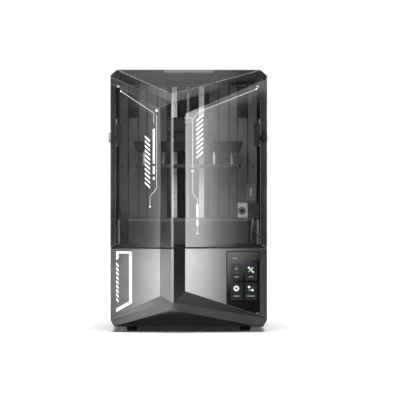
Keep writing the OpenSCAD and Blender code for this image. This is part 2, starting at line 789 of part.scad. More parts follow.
// ---------- Z carriage with the build plate ----------

module rail_carriages() {
    color("#d4d5d7") both_sides() difference() {
        block([rail_gap / 2 - 13.5, column_y - 13, carriage_z],
            [rail_gap / 2 + 13.5, column_y - 2, carriage_z + 45]);
        block([rail_gap / 2 - 6.2, column_y - 8.2, carriage_z - 1],
            [rail_gap / 2 + 6.2, column_y - 1, carriage_z + 46]);
    }
}

module lead_nut() {
    color("#b5893c") difference() {
        union() {
            block([-13, screw_y - 5, carriage_z + 8], [13, screw_y + 6, carriage_z + 18]);
            bar_z([0, screw_y, carriage_z + 4], 11, 26);
        }
        bar_z([0, screw_y, carriage_z + 3], screw_d + 2 * fit, 28);
    }
}

arm_w = rail_gap + 33.6;
arm_low = carriage_z + 10;
arm_high = carriage_z + 36;
module z_arm() {
    back = column_y - 13;
    color("#4a4c50") difference() {
        union() {
            block([2 - arm_w / 2, back - 6, carriage_z - 1], [arm_w / 2 - 2, back, carriage_z + 46]);
            block([-arm_w / 2, plate_y - 34, arm_low], [arm_w / 2, back - 5, arm_high]);
            block([-30, plate_y - 22, bracket_high], [30, plate_y + 22, arm_low + 1]);
        }
        both_sides() block([14, plate_y + 30, arm_low - 1], [arm_w / 2 - 5, back - 12, arm_high - 6]);
        block([-10, plate_y - 35, arm_low + 14], [10, plate_y - 14, arm_high + 1]);
        bar_x([-16, lever_y, lever_z], 5 + 2 * fit, 32);
        bar_z([0, screw_y, carriage_z - 2], 12, 49);
        // For the upper bearing
        block([-15, back - 3.4, carriage_z + 35], [15, back + 1, carriage_z + 47]);
    }
}

lever_y = plate_y - 26;
lever_z = arm_high - 6;
module clamp_lever() {
    color("#c2c4c7") {
        bar_x([-15.8, lever_y, lever_z], 5, 31.6);
        difference() {
            union() {
                bar_x([-9.4, lever_y, lever_z], 11, 18.8);
                block([-9.4, lever_y, lever_z - 1], [9.4, lever_y + 9, lever_z + 5.5]);
                block([-9.4, lever_y, arm_high + 0.6], [9.4, lever_y + 62, arm_high + 5]);
                block([-9.4, lever_y, lever_z], [9.4, lever_y + 9, arm_high + 5]);
            }
            block([-5, lever_y + 30, arm_high], [5, lever_y + 56, arm_high + 6]);
        }
    }
}

bracket_high = arm_low - 22;
bracket_low = bracket_high - 22;
plate_z = bracket_low - 28 - plate_t;
post_x = plate_w / 2 - 17;
post_y = plate_d / 2 - 29;
posts = [[-post_x, plate_y - post_y], [40 - post_x, plate_y + post_y], [post_x - 40, plate_y - post_y],
    [post_x, plate_y + post_y]];
module plate_bracket() {
    top_half = plate_w / 2 + 5;
    low_half = plate_w / 2 - 1;
    front = plate_y - plate_d / 2 + 17;
    back = plate_y + plate_d / 2 - 17;
    color("#3a3b3e") difference() {
        translate([0, back, 0]) rotate([90, 0, 0]) linear_extrude(back - front)
            polygon([[-low_half, bracket_low], [low_half, bracket_low], [top_half, bracket_high],
                [-top_half, bracket_high]]);
        both_sides() block([36, front + 4, bracket_low + 4], [low_half - 5, back - 4, bracket_high + 1]);
        for (p = posts) bar_z([p.x, p.y, bracket_low - 1], 6 + 2 * press, 6);
    }
}

module plate_posts() {
    color("#d9dadc") for (p = posts) {
        bar_z([p.x, p.y, plate_z + plate_t], 6, bracket_low + 4 - plate_z - plate_t);
        bar_z([p.x, p.y, plate_z + plate_t], 8, 1);
        bar_z([p.x, p.y, bracket_low + 4], 10, 4);
    }
}

module build_plate() {
    color("#85878b") soft_block([-plate_w / 2, plate_y - plate_d / 2, plate_z],
        [plate_w / 2, plate_y + plate_d / 2, plate_z + plate_t], 6);
}

// ---------- lid ----------

module hinge_brackets() {
    low = hinge_z - 17;
    high = hinge_z + 31;
    color("#222325") both_sides() difference() {
        union() {
            block([tower_half, tower_face - 4, low], [hinge_inner, wall_back - 1, high]);
            block([tower_half - 6, tower_face - 6, low], [hinge_inner, tower_face, high]);
        }
        bar_x([tower_half - 1, hinge_y, hinge_z], hinge_pin_d + 2 * press, half_w - tower_half);
        block([tower_half + 2, tower_face - 7, low + 11], [hinge_inner + 1, tower_face - 2, high - 11]);
    }
}

module hinge_pins() {
    color("#c9cbce") both_sides()
        bar_x([tower_half, hinge_y, hinge_z], hinge_pin_d, half_w + 11 - tower_half);
}

module hinge_caps() {
    color("#55575b") both_sides() difference() {
        translate([half_w, hinge_y, hinge_z]) rotate([0, 90, 0]) rotate_extrude()
            polygon([[0, 0], [12.5, 0], [12.5, 9], [9.5, 14], [0, 14]]);
        bar_x([half_w - 1, hinge_y, hinge_z], hinge_pin_d + 2 * fit, 12.5);
    }
}

module lid_shell() {
    grip_w = 102;
    grip_front = corner_y + 8.6;
    grip_back = tower_face;
    grip_sink = 3.6;
    wall_high = total_h - 48;       // over this the side walls reach as far back as the roof
    color("#55575c", 0.55) difference() {
        union() {
            difference() {
                lid_form(lid_low, total_h, 0);
                lid_form(lid_low - 1, total_h - wall, wall);
            }
            difference() {
                lid_form(lid_low, lid_low + lid_rim_h, wall);
                lid_form(lid_low - 1, lid_low + lid_rim_h + 1, 2 * wall);
            }
            intersection() {
                lid_form(tower_top + wall, total_h, 0);
                block([-half_w, roof_back - wall, tower_top + wall], [half_w, roof_back, total_h]);
            }
            block([-grip_w / 2 - wall, grip_front - wall, total_h - grip_sink - wall],
                [grip_w / 2 + wall, grip_back + wall, total_h - 1]);
        }
        block([-grip_w / 2, grip_front, total_h - grip_sink], [grip_w / 2, grip_back, total_h + 1]);
        block([-half_w - 1, wall_back, lid_low - 1], [half_w + 1, back_y + 1, wall_high]);
        block([-half_w - 1, roof_back, wall_high - 1], [half_w + 1, back_y + 1, total_h + 1]);
        for (s = [-1, 1])
            bar_x([s * (half_w - wall / 2) - 4, hinge_y, hinge_z], hinge_pin_d + 1, 8);
    }
}

module lid_gasket() {
    color("#161617") difference() {
        lid_form(lid_low - 1, lid_low, 0.6);
        lid_form(lid_low - 2, lid_low + 1, 2 * wall - 0.6);
        block([-half_w, wall_back - 4, lid_low - 2], [half_w, back_y + 1, lid_low + 1]);
    }
}

// ---------- chamber fittings ----------

cable_x = tower_half - 9.5;
cable_y = tower_face - 4.5;
camera_x = tower_half - 34;         // centre of its lens
camera_low = base_top + 61;
module camera_module() {
    front = tower_face - 15;
    color("#9c9da1") difference() {
        block([camera_x - 9.5, front, camera_low], [camera_x + 12.5, tower_face - 6, camera_low + 34]);
        bar_y([camera_x, front - 1, camera_low + 16], 12, 6);
    }
    color("#121213") difference() {
        bar_y([camera_x, front - 4, camera_low + 16], 12, 9);
        bar_y([camera_x, front - 5, camera_low + 16], 8, 3);
    }
    color("#1f2022") {
        block([camera_x - 7.5, tower_face - 6, camera_low + 4],
            [camera_x + 12.5, tower_face, camera_low + 30]);
        block([camera_x + 12.5, tower_face - 12, camera_low],
            [hinge_inner - 2.2, tower_face, camera_low + 32]);
    }
}

cable_points = [for (p = [[0, -1.5, 61], [0, -1.5, 51], [-3, -2.5, 33], [-4, -2.5, 17],
    [-1, -0.5, 7], [0, 0, -3], [0, 0, -15]]) [cable_x, cable_y, base_top] + p];
module camera_cable() {
    color("#2e2f31") lead(route(cable_points, 4), 4.6, [0, 1, 0]);
}

lamp_x = tower_half - 14;
lamp_low = camera_low + 37;
module chamber_light() {
    color("#2a2b2e") difference() {
        soft_block([lamp_x - 12.5, tower_face - 7, lamp_low],
            [lamp_x + 12.5, tower_face, lamp_low + 41], 1.5);
        block([lamp_x - 3, tower_face - 8, lamp_low + 11], [lamp_x + 3, tower_face - 3, lamp_low + 31]);
    }
    color("#f4f4ee")
        block([lamp_x - 2.5, tower_face - 6, lamp_low + 11.5],
            [lamp_x + 2.5, tower_face - 3, lamp_low + 30.5]);
}

exhaust_x = tower_half - 58.5;
exhaust_z = base_top + 75;
exhaust_w = 60;
// The exhaust fan's own frame: its axis is z, pointing into the tower
module at_exhaust() {
    translate([exhaust_x, back_y - wall, exhaust_z]) rotate([90, 0, 0]) children();
}
module exhaust_fan_frame() {
    color("#1c1c1e") at_exhaust() fan_frame(exhaust_w, 15, exhaust_w - 4, 4);
}

module exhaust_fan_rotor() {
    color("#26272a") at_exhaust() translate([0, 0, 4]) difference() {
        rotor(exhaust_w - 9, 9, 7);
        translate([0, 0, -1]) cylinder(d = 4 + 2 * fit, h = 6.5);
    }
}

// ---------- output ----------

base_housing();
bottom_plate();
rubber_feet();
case_screws();
screen_glass();
screen_module();
name_plate();
usb_port();
dc_inlet();
switch_frame();
power_rocker();
mainboard();
board_parts();
board_standoffs();
motor_lead();
light_board();
heat_sink();
light_fan_frame();
light_fan_rotor();
reflector_box();
collimator_lens();
tilt_motor();
tilt_motor_stand();
tilt_rod();
tilt_hinge_blocks();
tilt_hinge_pins();
tilt_platform();
mask_display();
vat_film_frame();
vat_film();
vat_tank();
latch_posts();
mirror([1, 0, 0]) latch();  // latch_left
latch();  // latch_right
tower_front_cover();
tower_back_cover();
column_profile();
linear_rails();
z_motor();
z_motor_bracket();
shaft_coupler();
lead_screw();
screw_bearings();
rail_carriages();
lead_nut();
z_arm();
plate_bracket();
plate_posts();
build_plate();
clamp_lever();
hinge_brackets();
hinge_pins();
hinge_caps();
lid_shell();
lid_gasket();
camera_module();
camera_cable();
chamber_light();
exhaust_fan_frame();
exhaust_fan_rotor();
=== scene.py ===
"""Looks of a desktop resin printer: a satin metallic base with a touch screen, a smoked lid and what is inside."""

import json
import math

import bmesh
import bpy
from mathutils import Matrix, Vector


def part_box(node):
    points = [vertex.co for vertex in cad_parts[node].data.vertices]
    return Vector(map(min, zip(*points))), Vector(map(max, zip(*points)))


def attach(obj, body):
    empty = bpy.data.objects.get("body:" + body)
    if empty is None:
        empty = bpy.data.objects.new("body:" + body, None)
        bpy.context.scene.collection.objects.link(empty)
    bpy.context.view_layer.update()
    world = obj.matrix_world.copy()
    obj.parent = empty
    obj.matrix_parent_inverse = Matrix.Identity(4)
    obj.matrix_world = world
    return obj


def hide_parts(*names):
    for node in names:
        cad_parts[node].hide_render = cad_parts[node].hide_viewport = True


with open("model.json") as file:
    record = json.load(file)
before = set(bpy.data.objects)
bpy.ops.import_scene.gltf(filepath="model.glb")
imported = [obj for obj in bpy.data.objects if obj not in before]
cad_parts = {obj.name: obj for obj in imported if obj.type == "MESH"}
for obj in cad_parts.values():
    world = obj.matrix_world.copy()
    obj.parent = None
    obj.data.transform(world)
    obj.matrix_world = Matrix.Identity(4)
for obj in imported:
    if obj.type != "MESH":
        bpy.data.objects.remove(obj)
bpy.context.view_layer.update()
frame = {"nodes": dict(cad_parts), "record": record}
nodes = frame["nodes"]
body_of_node = {n: body for body, names in frame["record"]["behaviour"]["bodies"].items() for n in names}
slot_of_node = {part["node"]: part["material_slot"] for part in frame["record"]["subparts"]}

MM = 0.001

# ---------- sizes that the frame gives ----------

base_low, base_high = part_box("base_housing")
lid_low, lid_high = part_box("lid_shell")
RIDGE_OUT = 28 * MM
CORNER_Y = base_low.y + RIDGE_OUT
BAND_X, BAND_OUT = -59 * MM, 20 * MM
GROOVE_X, GROOVE_OUT = -8 * MM, 12 * MM
INK = 0.12 * MM                     # how thick print is
SCREEN_FADE = 76 * MM               # over which the painted reflection on the screen fades, measured aslant
TOWER_FACE_IN = 2.5 * MM            # from the foremost edge of the tower's front cover to its face
SOFT = 28                           # degrees: a sharper edge is rounded


# ---------- camera ----------

def look_from_the_front():
    """A level camera with a long lens, far ahead of the printer."""
    camera = bpy.data.objects.new("camera", bpy.data.cameras.new("camera"))
    bpy.context.scene.collection.objects.link(camera)
    camera.location = (-0.0235, -3.6366, 0.276)
    camera.rotation_euler = (math.radians(90), 0, 0)
    camera.data.sensor_width = 36
    camera.data.lens = 150.7
    camera.data.shift_x = 0.05625
    bpy.context.scene.camera = camera


# ---------- finishes ----------

def new_finish(name, colour, roughness, metallic=0.0, **sockets):
    finish = bpy.data.materials.new(name)
    finish.use_nodes = True
    shader = finish.node_tree.nodes["Principled BSDF"]
    shader.inputs["Base Color"].default_value = (*colour, 1)
    shader.inputs["Roughness"].default_value = roughness
    shader.inputs["Metallic"].default_value = metallic
    for socket, value in sockets.items():
        shader.inputs[socket.replace("_", " ")].default_value = value
    return finish


def noise_on(finish, size, detail=3.0, stretch=(1, 1, 1)):
    """Noise with features of about one size, in metres, fixed to the piece. Returns its output."""
    tree = finish.node_tree
    place = tree.nodes.new("ShaderNodeTexCoord")
    mapping = tree.nodes.new("ShaderNodeMapping")
    mapping.inputs["Scale"].default_value = stretch
    noise = tree.nodes.new("ShaderNodeTexNoise")
    noise.inputs["Scale"].default_value = 1 / size
    noise.inputs["Detail"].default_value = detail
    tree.links.new(place.outputs["Object"], mapping.inputs["Vector"])
    tree.links.new(mapping.outputs["Vector"], noise.inputs["Vector"])
    return noise.outputs["Fac"]


def ramped(finish, source, start, end, low=0.0, high=1.0):
    """The source's values from start to end, stretched from low to high."""
    tree = finish.node_tree
    ramp = tree.nodes.new("ShaderNodeMapRange")
    ramp.inputs["From Min"].default_value, ramp.inputs["From Max"].default_value = start, end
    ramp.inputs["To Min"].default_value, ramp.inputs["To Max"].default_value = low, high
    tree.links.new(source, ramp.inputs["Value"])
    return ramp.outputs["Result"]


def spread(finish, source, low, high):
    """The range where most of a noise's values lie, spread from low to high."""
    return ramped(finish, source, 0.3, 0.7, low, high)


def grained(finish, size, depth, stretch=(1, 1, 1)):
    """A fine relief, as of a spark-eroded mould, blasting or brushing."""
    tree = finish.node_tree
    bump = tree.nodes.new("ShaderNodeBump")
    bump.inputs["Strength"].default_value = 1.0
    bump.inputs["Distance"].default_value = depth
    tree.links.new(noise_on(finish, size, 4.0, stretch), bump.inputs["Height"])
    tree.links.new(bump.outputs["Normal"], tree.nodes["Principled BSDF"].inputs["Normal"])
    return finish


def uneven_gloss(finish, size, low, high, stretch=(1, 1, 1)):
    """The roughness drifts between two values."""
    tree = finish.node_tree
    value = spread(finish, noise_on(finish, size, 3.0, stretch), low, high)
    tree.links.new(value, tree.nodes["Principled BSDF"].inputs["Roughness"])
    return finish


def two_tones(finish, share, colour, other):
    """The finish's colour goes from one tone to the other as the share goes from 0 to 1."""
    tree = finish.node_tree
    mix = tree.nodes.new("ShaderNodeMix")
    mix.data_type = "RGBA"
    tones = [s for s in mix.inputs if s.type == "RGBA"]
    tones[0].default_value, tones[1].default_value = (*colour, 1), (*other, 1)
    tree.links.new(share, mix.inputs["Factor"])
    result = [s for s in mix.outputs if s.type == "RGBA"][0]
    tree.links.new(result, tree.nodes["Principled BSDF"].inputs["Base Color"])
    return finish


def uneven_tone(finish, size, colour, other, stretch=(1, 1, 1)):
    """The colour drifts between two close tones."""
    return two_tones(finish, spread(finish, noise_on(finish, size, 2.0, stretch), 0.0, 1.0), colour, other)


def base_paint():
    finish = new_finish("satin_metallic_paint", (0.56, 0.555, 0.57), 0.17, 1.0)
    uneven_tone(finish, 0.7 * MM, (0.545, 0.54, 0.555), (0.585, 0.58, 0.60))
    uneven_gloss(finish, 30 * MM, 0.16, 0.19)
    return grained(finish, 0.5 * MM, 0.004 * MM)


def moulded(name, tone, roughness, grain=0.9 * MM, depth=0.03 * MM):
    finish = new_finish(name, (tone, tone, tone * 1.05), roughness)
    uneven_tone(finish, 22 * MM, (tone * 0.94,) * 2 + (tone,), (tone * 1.08,) * 2 + (tone * 1.14,))
    uneven_gloss(finish, 14 * MM, roughness - 0.05, roughness + 0.05)
    return grained(finish, grain, depth)


def metal(name, colour, roughness, stretch=(1, 1, 1), grain=0.6 * MM, depth=0.006 * MM, metallic=1.0):
    finish = new_finish(name, colour, roughness, metallic)
    uneven_tone(finish, 12 * MM, colour, tuple(c * 0.9 for c in colour), stretch)
    uneven_gloss(finish, 8 * MM, roughness * 0.85, roughness * 1.2, stretch)
    return grained(finish, grain, depth, stretch)


def smoked(name, tone, alpha, roughness, metallic):
    finish = new_finish(name, (tone, tone, tone * 1.03), roughness, metallic, Alpha=alpha)
    return uneven_gloss(finish, 60 * MM, roughness * 0.9, roughness * 1.1)


def painted_reflection_from_corner(finish, low, high):
    """A painted reflection on the screen glass: a glow that rises towards the screen's upper left corner."""
    tree = finish.node_tree
    place, along = tree.nodes.new("ShaderNodeTexCoord"), tree.nodes.new("ShaderNodeVectorMath")
    along.operation = "DOT_PRODUCT"
    along.inputs[1].default_value = (-1, 0, 1)
    tree.links.new(place.outputs["Object"], along.inputs[0])
    glow = ramped(finish, along.outputs["Value"], 0, SCREEN_FADE, low, high)
    tree.links.new(glow, tree.nodes["Principled BSDF"].inputs["Emission Strength"])
    return finish


def shade_painted_towards_the_top(finish, low, high, light, dark):
    """A joint's dark floor with painted shade that deepens towards its upper end, between two heights."""
    tree = finish.node_tree
    place, apart = tree.nodes.new("ShaderNodeTexCoord"), tree.nodes.new("ShaderNodeSeparateXYZ")
    tree.links.new(place.outputs["Object"], apart.inputs[0])
    return two_tones(finish, ramped(finish, apart.outputs["Z"], low, high), light, dark)


def glowing(name, colour, strength):
    finish = new_finish(name, (0.004, 0.004, 0.004), 0.08)
    shader = finish.node_tree.nodes["Principled BSDF"]
    shader.inputs["Emission Color"].default_value = (*colour, 1)
    shader.inputs["Emission Strength"].default_value = strength
    return finish


FINISHES = {
    "base_paint": base_paint(),
    "dark_plastic": moulded("dark_grained_plastic", 0.035, 0.5),
    "tower_plastic": moulded("charcoal_plastic", 0.155, 0.42),
    "black_rubber": moulded("black_rubber", 0.018, 0.75, 1.6 * MM, 0.06 * MM),
    "black_glass": uneven_gloss(new_finish("black_cover_glass", (0.004, 0.004, 0.005), 0.08), 40 * MM, 0.06, 0.1),
    "white_print": moulded("white_ink", 0.86, 0.5, 0.5 * MM, 0.01 * MM),
    "bare_steel": metal("ground_steel", (0.86, 0.86, 0.88), 0.3, (6, 6, 0.3), metallic=0.6),
    "aluminium": metal("anodised_aluminium", (0.62, 0.63, 0.65), 0.38),
    "dark_aluminium": metal("black_anodised_aluminium", (0.07, 0.07, 0.074), 0.42, metallic=0.5),
    "brass": metal("turned_brass", (0.72, 0.52, 0.25), 0.3, (4, 4, 1)),
    "board_green": moulded("solder_mask", 0.05, 0.35),
    "chip_black": moulded("moulded_component_black", 0.02, 0.45),
    "lamp_white": moulded("white_lamp_board", 0.8, 0.5),
    "clear_lens": new_finish("clear_moulded_lens", (0.85, 0.9, 0.95), 0.08, Alpha=0.35),
    "film_clear": new_finish("clear_release_film", (0.8, 0.83, 0.86), 0.1, Alpha=0.35),
    "vat_grey": metal("grey_anodised_vat", (0.1, 0.1, 0.105), 0.45, metallic=0.6),
    "plate_grey": metal("bead_blasted_plate", (0.2, 0.2, 0.21), 0.45, (1, 1, 1), 0.4 * MM, 0.03 * MM),
    "lid_tint": smoked("smoked_lid", 0.83, 0.36, 0.08, 1.0),
    "cap_grey": moulded("grey_hinge_cap", 0.45, 0.3),
    "rocker_red": new_finish("red_rocker", (0.5, 0.03, 0.02), 0.3),
    "camera_grey": moulded("camera_face", 0.5, 0.35),
}
LID_INSIDE = smoked("smoked_lid_inside", 0.1, 0.05, 0.35, 0.6)
LID_EDGE = smoked("smoked_lid_edge", 0.02, 0.96, 0.25, 0.0)     # the walls that light crosses lengthwise
# the grip's underside is painted pale, as painted light from below
LID_GRIP_PAINTED_LIGHT = smoked("smoked_lid_grip", 1.0, 0.85, 0.4, 0.0)
# the joints' floors are dark, with painted shade that grows towards the tower's top
JOINT_DARK_AND_SHADE = shade_painted_towards_the_top(moulded("shadowed_joint", 0.012, 0.7), 0.4, 0.47,
                                     (0.085,) * 3, (0.012,) * 3)
CABLE_GREY = moulded("cable_jacket", 0.45, 0.3)
BRACKET_BLACK = metal("black_anodised_bracket", (0.03, 0.03, 0.032), 0.42, metallic=0.5)
PLATFORM_GREY = metal("grey_anodised_platform", (0.05, 0.05, 0.052), 0.4)
RIM_GREY = metal("machined_vat_rim", (0.19, 0.19, 0.195), 0.35, metallic=0.6)
LAMP_GREY = moulded("lamp_housing", 0.2, 0.35)
POST_BRIGHT = metal("polished_post", (0.95, 0.95, 0.97), 0.22, (4, 4, 0.4), metallic=0.5)
LATCH_GREY = metal("zinc_latch_post", (0.3, 0.3, 0.31), 0.25, metallic=0.8)
LATCH_BLACK = moulded("black_latch", 0.05, 0.3)
SCREW_BLACK = metal("blackened_screw", (0.08, 0.08, 0.082), 0.35, metallic=0.7)


# ---------- mesh helpers ----------

def put(name, bm, *finishes):
    """A finished mesh as an object in the scene."""
    mesh = bpy.data.meshes.new(name)
    bm.normal_update()
    bm.to_mesh(mesh)
    bm.free()
    piece = bpy.data.objects.new(name, mesh)
    bpy.context.scene.collection.objects.link(piece)
    for finish in finishes:
        mesh.materials.append(finish)
    return piece


def plate(bm, outline, place, lift=0.0, thick=INK, tag=0):
    """A thin plate with that outline of (u, z) points, laid on the face that place describes."""
    top = [bm.verts.new(place(u, z, lift + thick)) for u, z in outline]
    foot = [bm.verts.new(place(u, z, lift)) for u, z in outline]
    faces = [bm.faces.new(top), bm.faces.new(foot[::-1])]
    for i in range(len(top)):
        j = (i + 1) % len(top)
        faces.append(bm.faces.new((top[j], top[i], foot[i], foot[j])))
    for f in faces:
        f.material_index = tag


def stroke(points, width):
    """The outline of a line of one width through the points, with mitred corners."""
    left, right = [], []
    for i, (u, z) in enumerate(points):
        here = Vector((u, z))
        before = (here - Vector(points[i - 1])).normalized() if i else None
        after = (Vector(points[i + 1]) - here).normalized() if i < len(points) - 1 else None
        way = ((before or after) + (after or before)).normalized()
        side = Vector((-way.y, way.x))
        reach = width / 2 / max(0.3, side.dot(Vector((-(after or before).y, (after or before).x))))
        left.append(tuple(here + side * reach))
        right.append(tuple(here - side * reach))
    return left + right[::-1]


def disc(u, z, radius, count=20, start=0.0):
    return [(u + radius * math.cos(start + 2 * math.pi * k / count),
             z + radius * math.sin(start + 2 * math.pi * k / count)) for k in range(count)]


def ring(bm, u, z, outer, inner, place, lift=0.0, thick=INK, tag=0, count=24):
    """A flat ring, as a row of small plates."""
    for k in range(count):
        a, b = 2 * math.pi * k / count, 2 * math.pi * (k + 1) / count
        corners = ((inner, a), (outer, a), (outer, b), (inner, b))
        outline = [(u + r * math.cos(t), z + r * math.sin(t)) for r, t in corners]
        plate(bm, outline, place, lift, thick, tag)


def rectangle(u, z, width, height):
    """Centred on (u, z)."""
    return [(u - width / 2, z - height / 2), (u + width / 2, z - height / 2),
            (u + width / 2, z + height / 2), (u - width / 2, z + height / 2)]


def outward(bm):
    bmesh.ops.recalc_face_normals(bm, faces=bm.faces)
    return bm


def front_panel(inner_x, inner_out, outer_x):
    """Where (u, z, lift) lies on one of the two big front faces: u runs from its inner edge outwards."""
    start = Vector((inner_x, CORNER_Y - inner_out, 0))
    along = (Vector((outer_x, CORNER_Y, 0)) - start).normalized()
    out = Vector((along.y, -along.x, 0))
    out = out if out.y < 0 else -out
    return lambda u, z, lift=0.0: start + along * u + out * lift + Vector((0, 0, z))


LEFT_PANEL = front_panel(BAND_X, BAND_OUT, -base_high.x)
RIGHT_PANEL = front_panel(GROOVE_X, GROOVE_OUT, base_high.x)


# ---------- leads ----------

def smooth_route(points, steps):
    """Points of a smooth route through the given points."""
    made = []
    for i in range(len(points) - 1):
        a, b, c, d = (Vector(points[max(0, min(k, len(points) - 1))]) for k in (i - 1, i, i + 1, i + 2))
        for s in range(steps):
            t = s / steps
            made.append(0.5 * (2 * b + (c - a) * t + (2 * a - 5 * b + 4 * c - d) * t ** 2
                               + (3 * b - a - 3 * c + d) * t ** 3))
    return made + [Vector(points[-1])]


def lead(node, points, diameter, finish):
    """A round lead along a route in millimetres, which stands for its CAD node."""
    path = [p * MM for p in smooth_route(points, 4)]
    curve = bpy.data.curves.new(node + "_round", "CURVE")
    curve.dimensions = "3D"
    curve.bevel_depth = diameter * MM / 2
    curve.bevel_resolution = 3
    curve.use_fill_caps = True
    spline = curve.splines.new("POLY")
    spline.points.add(len(path) - 1)
    for point, place in zip(spline.points, path):
        point.co = (*place, 1)
    curve.materials.append(finish)
    piece = bpy.data.objects.new(node + "_round", curve)
    bpy.context.scene.collection.objects.link(piece)
    stand_for(piece, node)


def leads():
    """From the camera down through the deck, and from the Z motor to the mainboard."""
    lead("camera_cable", [(144, 92, 236), (144, 92, 226), (141, 91, 208), (140, 91, 192), (143, 93, 182),
                          (144, 93.5, 172), (144, 93.5, 160)], 4.6, CABLE_GREY)
    lead("motor_lead", [(8, 96, 100), (8, 96, 84), (20, 100, 64), (44, 112, 52), (60, 130, 44),
                        (61, 142, 36), (61, 142, 32)], 4, FINISHES["chip_black"])


# ---------- CAD pieces with soft edges ----------

def joined_up(node):
    """A CAD node's loose triangles as one clean mesh, with each flat face in one piece."""
    source = nodes[node].data
    bm = bmesh.new()
    corners = [bm.verts.new(v.co) for v in source.vertices]
    for p in source.polygons:
        bm.faces.new([corners[i] for i in p.vertices])
    bmesh.ops.remove_doubles(bm, verts=bm.verts, dist=2e-6)
    bmesh.ops.dissolve_degenerate(bm, dist=1e-6, edges=bm.edges)
    bmesh.ops.dissolve_limit(bm, angle_limit=math.radians(0.6), verts=bm.verts, edges=bm.edges)
    return bm


ROUNDING = 9                        # marks the faces of a rounded edge until their normals are set
NARROW = 1.3 * MM                   # a face with less area than this for each metre of its outline
FINE = 0.15 * MM                    # rounding of the edges beside a narrow face


def narrow(face):
    return face.calc_area() < NARROW * face.calc_perimeter()


def soften(bm, width, sharp):
    """Rounds every edge sharper than that many degrees, and the edges beside narrow faces only finely."""
    for fine in (True, False):
        edges = [e for e in bm.edges if len(e.link_faces) == 2 and e.calc_face_angle(0.0) > math.radians(sharp)
                 and all(f.material_index != ROUNDING for f in e.link_faces)
                 and any(narrow(f) for f in e.link_faces) == fine]
        bmesh.ops.bevel(bm, geom=edges, offset=FINE if fine else width, offset_type="OFFSET",
                        segments=1 if fine else 2, profile=0.5, affect="EDGES", clamp_overlap=False,
                        material=ROUNDING)
        bm.normal_update()


def corner_normals(bm, sharp):
    """Flat faces stay flat, round stretches run smooth, and a rounded edge blends its neighbours."""
    limit = math.cos(math.radians(sharp))
    normals = []
    for f in bm.faces:
        rounded = f.material_index == ROUNDING
        for v in f.verts:
            flats = [o for o in v.link_faces if o.material_index != ROUNDING]
            if not rounded:
                flats = [o for o in flats if o.normal.dot(f.normal) > limit]
            near = flats or list(v.link_faces)
            normals.append(sum((o.normal * o.calc_area() for o in near), Vector()).normalized())
    return normals


def finish_dress(name, bm, sharp, *finishes, sort=None):
    """The mesh as a piece, with its corner normals. sort gives each face's finish."""
    normals = corner_normals(bm, sharp)
    for f in bm.faces:
        f.smooth = True
        f.material_index = sort(f) if sort else 0
    piece = put(name, bm, *finishes)
    piece.data.normals_split_custom_set(normals)
    return piece


def dressed(node, width, sharp, *finishes, name=None, sort=None):
    """A copy of a CAD node with soft edges, which stands for it. sort gives each face's finish."""
    bm = joined_up(node)
    soften(bm, width, sharp)
    stand_for(finish_dress(name or node + "_dressed", bm, sharp, *finishes, sort=sort), node)


def stand_for(piece, node):
    """The piece takes the place of the CAD node, on its body."""
    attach(piece, body_of_node[node])
    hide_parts(node)
    return piece


def tower_front():
    """The tower's front, with dark floors and painted shade in its joints and recesses."""
    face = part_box("tower_front_cover")[0].y + TOWER_FACE_IN

    def part_of_tower(f):
        return 1 if face + 0.05 * MM < f.calc_center_median().y < face + 2.6 * MM else 0

    dressed("tower_front_cover", 0.35 * MM, SOFT, FINISHES["tower_plastic"], JOINT_DARK_AND_SHADE,
            name="tower_front_dressed", sort=part_of_tower)


def vat():
    """The vat, with a machined rim."""
    rim_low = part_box("vat_tank")[1].z - 4 * MM
    dressed("vat_tank", 0.6 * MM, SOFT, FINISHES["vat_grey"], RIM_GREY,
            name="vat_dressed", sort=lambda f: int(f.calc_center_median().z > rim_low))


def chamber_camera():
    """The camera's face, lens and body have finishes of their own, and the lens has rings, the small pale one at its
    centre a painted highlight.
    """
    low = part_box("camera_module")[0]
    lens = Vector((low.x + 9.5 * MM, 0, low.z + 16 * MM))
    face, glass, body = range(3)

    def part_of_camera(f):
        at = f.calc_center_median()
        in_lens = all((Vector((v.co.x, 0, v.co.z)) - lens).length < 6.6 * MM for v in f.verts)
        if in_lens and at.y < low.y + 9.5 * MM:
            return glass
        return face if at.y < low.y + 13.2 * MM and at.x < low.x + 22.4 * MM else body

    dressed("camera_module", 0.4 * MM, SOFT, FINISHES["camera_grey"], FINISHES["black_glass"],
            FINISHES["dark_plastic"], name="camera_body", sort=part_of_camera)
    bm = bmesh.new()
    # the last ring, pale grey at the lens's centre, is a painted highlight
    for out, outer, inner, tag in ((4.0, 8.4, 6.5, 1), (0.0, 6.4, 4.6, 0), (0.2, 4.5, 2.3, 1), (3.0, 2.2, 0.9, 0)):
        ring(bm, lens.x, lens.z, outer * MM, inner * MM,
             lambda u, z, lift=0.0: Vector((u, low.y + out * MM - lift, z)), 0.0, 0.15 * MM, tag)
    rings = put("lens_rings", outward(bm), FINISHES["camera_grey"], FINISHES["chip_black"])
    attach(rings, body_of_node["camera_module"])


def chamber_lamp():
    """The lamp's housing with its white strip."""
    low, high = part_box("chamber_light")
    middle = (low + high) / 2

    def part_of_lamp(f):
        at = f.calc_center_median()
        in_strip = abs(at.x - middle.x) < 2.7 * MM and low.y < at.y - 0.7 * MM < low.y + 3 * MM
        return 1 if in_strip and f.normal.y < -0.9 else 0

    dressed("chamber_light", 0.4 * MM, SOFT, LAMP_GREY, FINISHES["lamp_white"],
            name="lamp_body", sort=part_of_lamp)


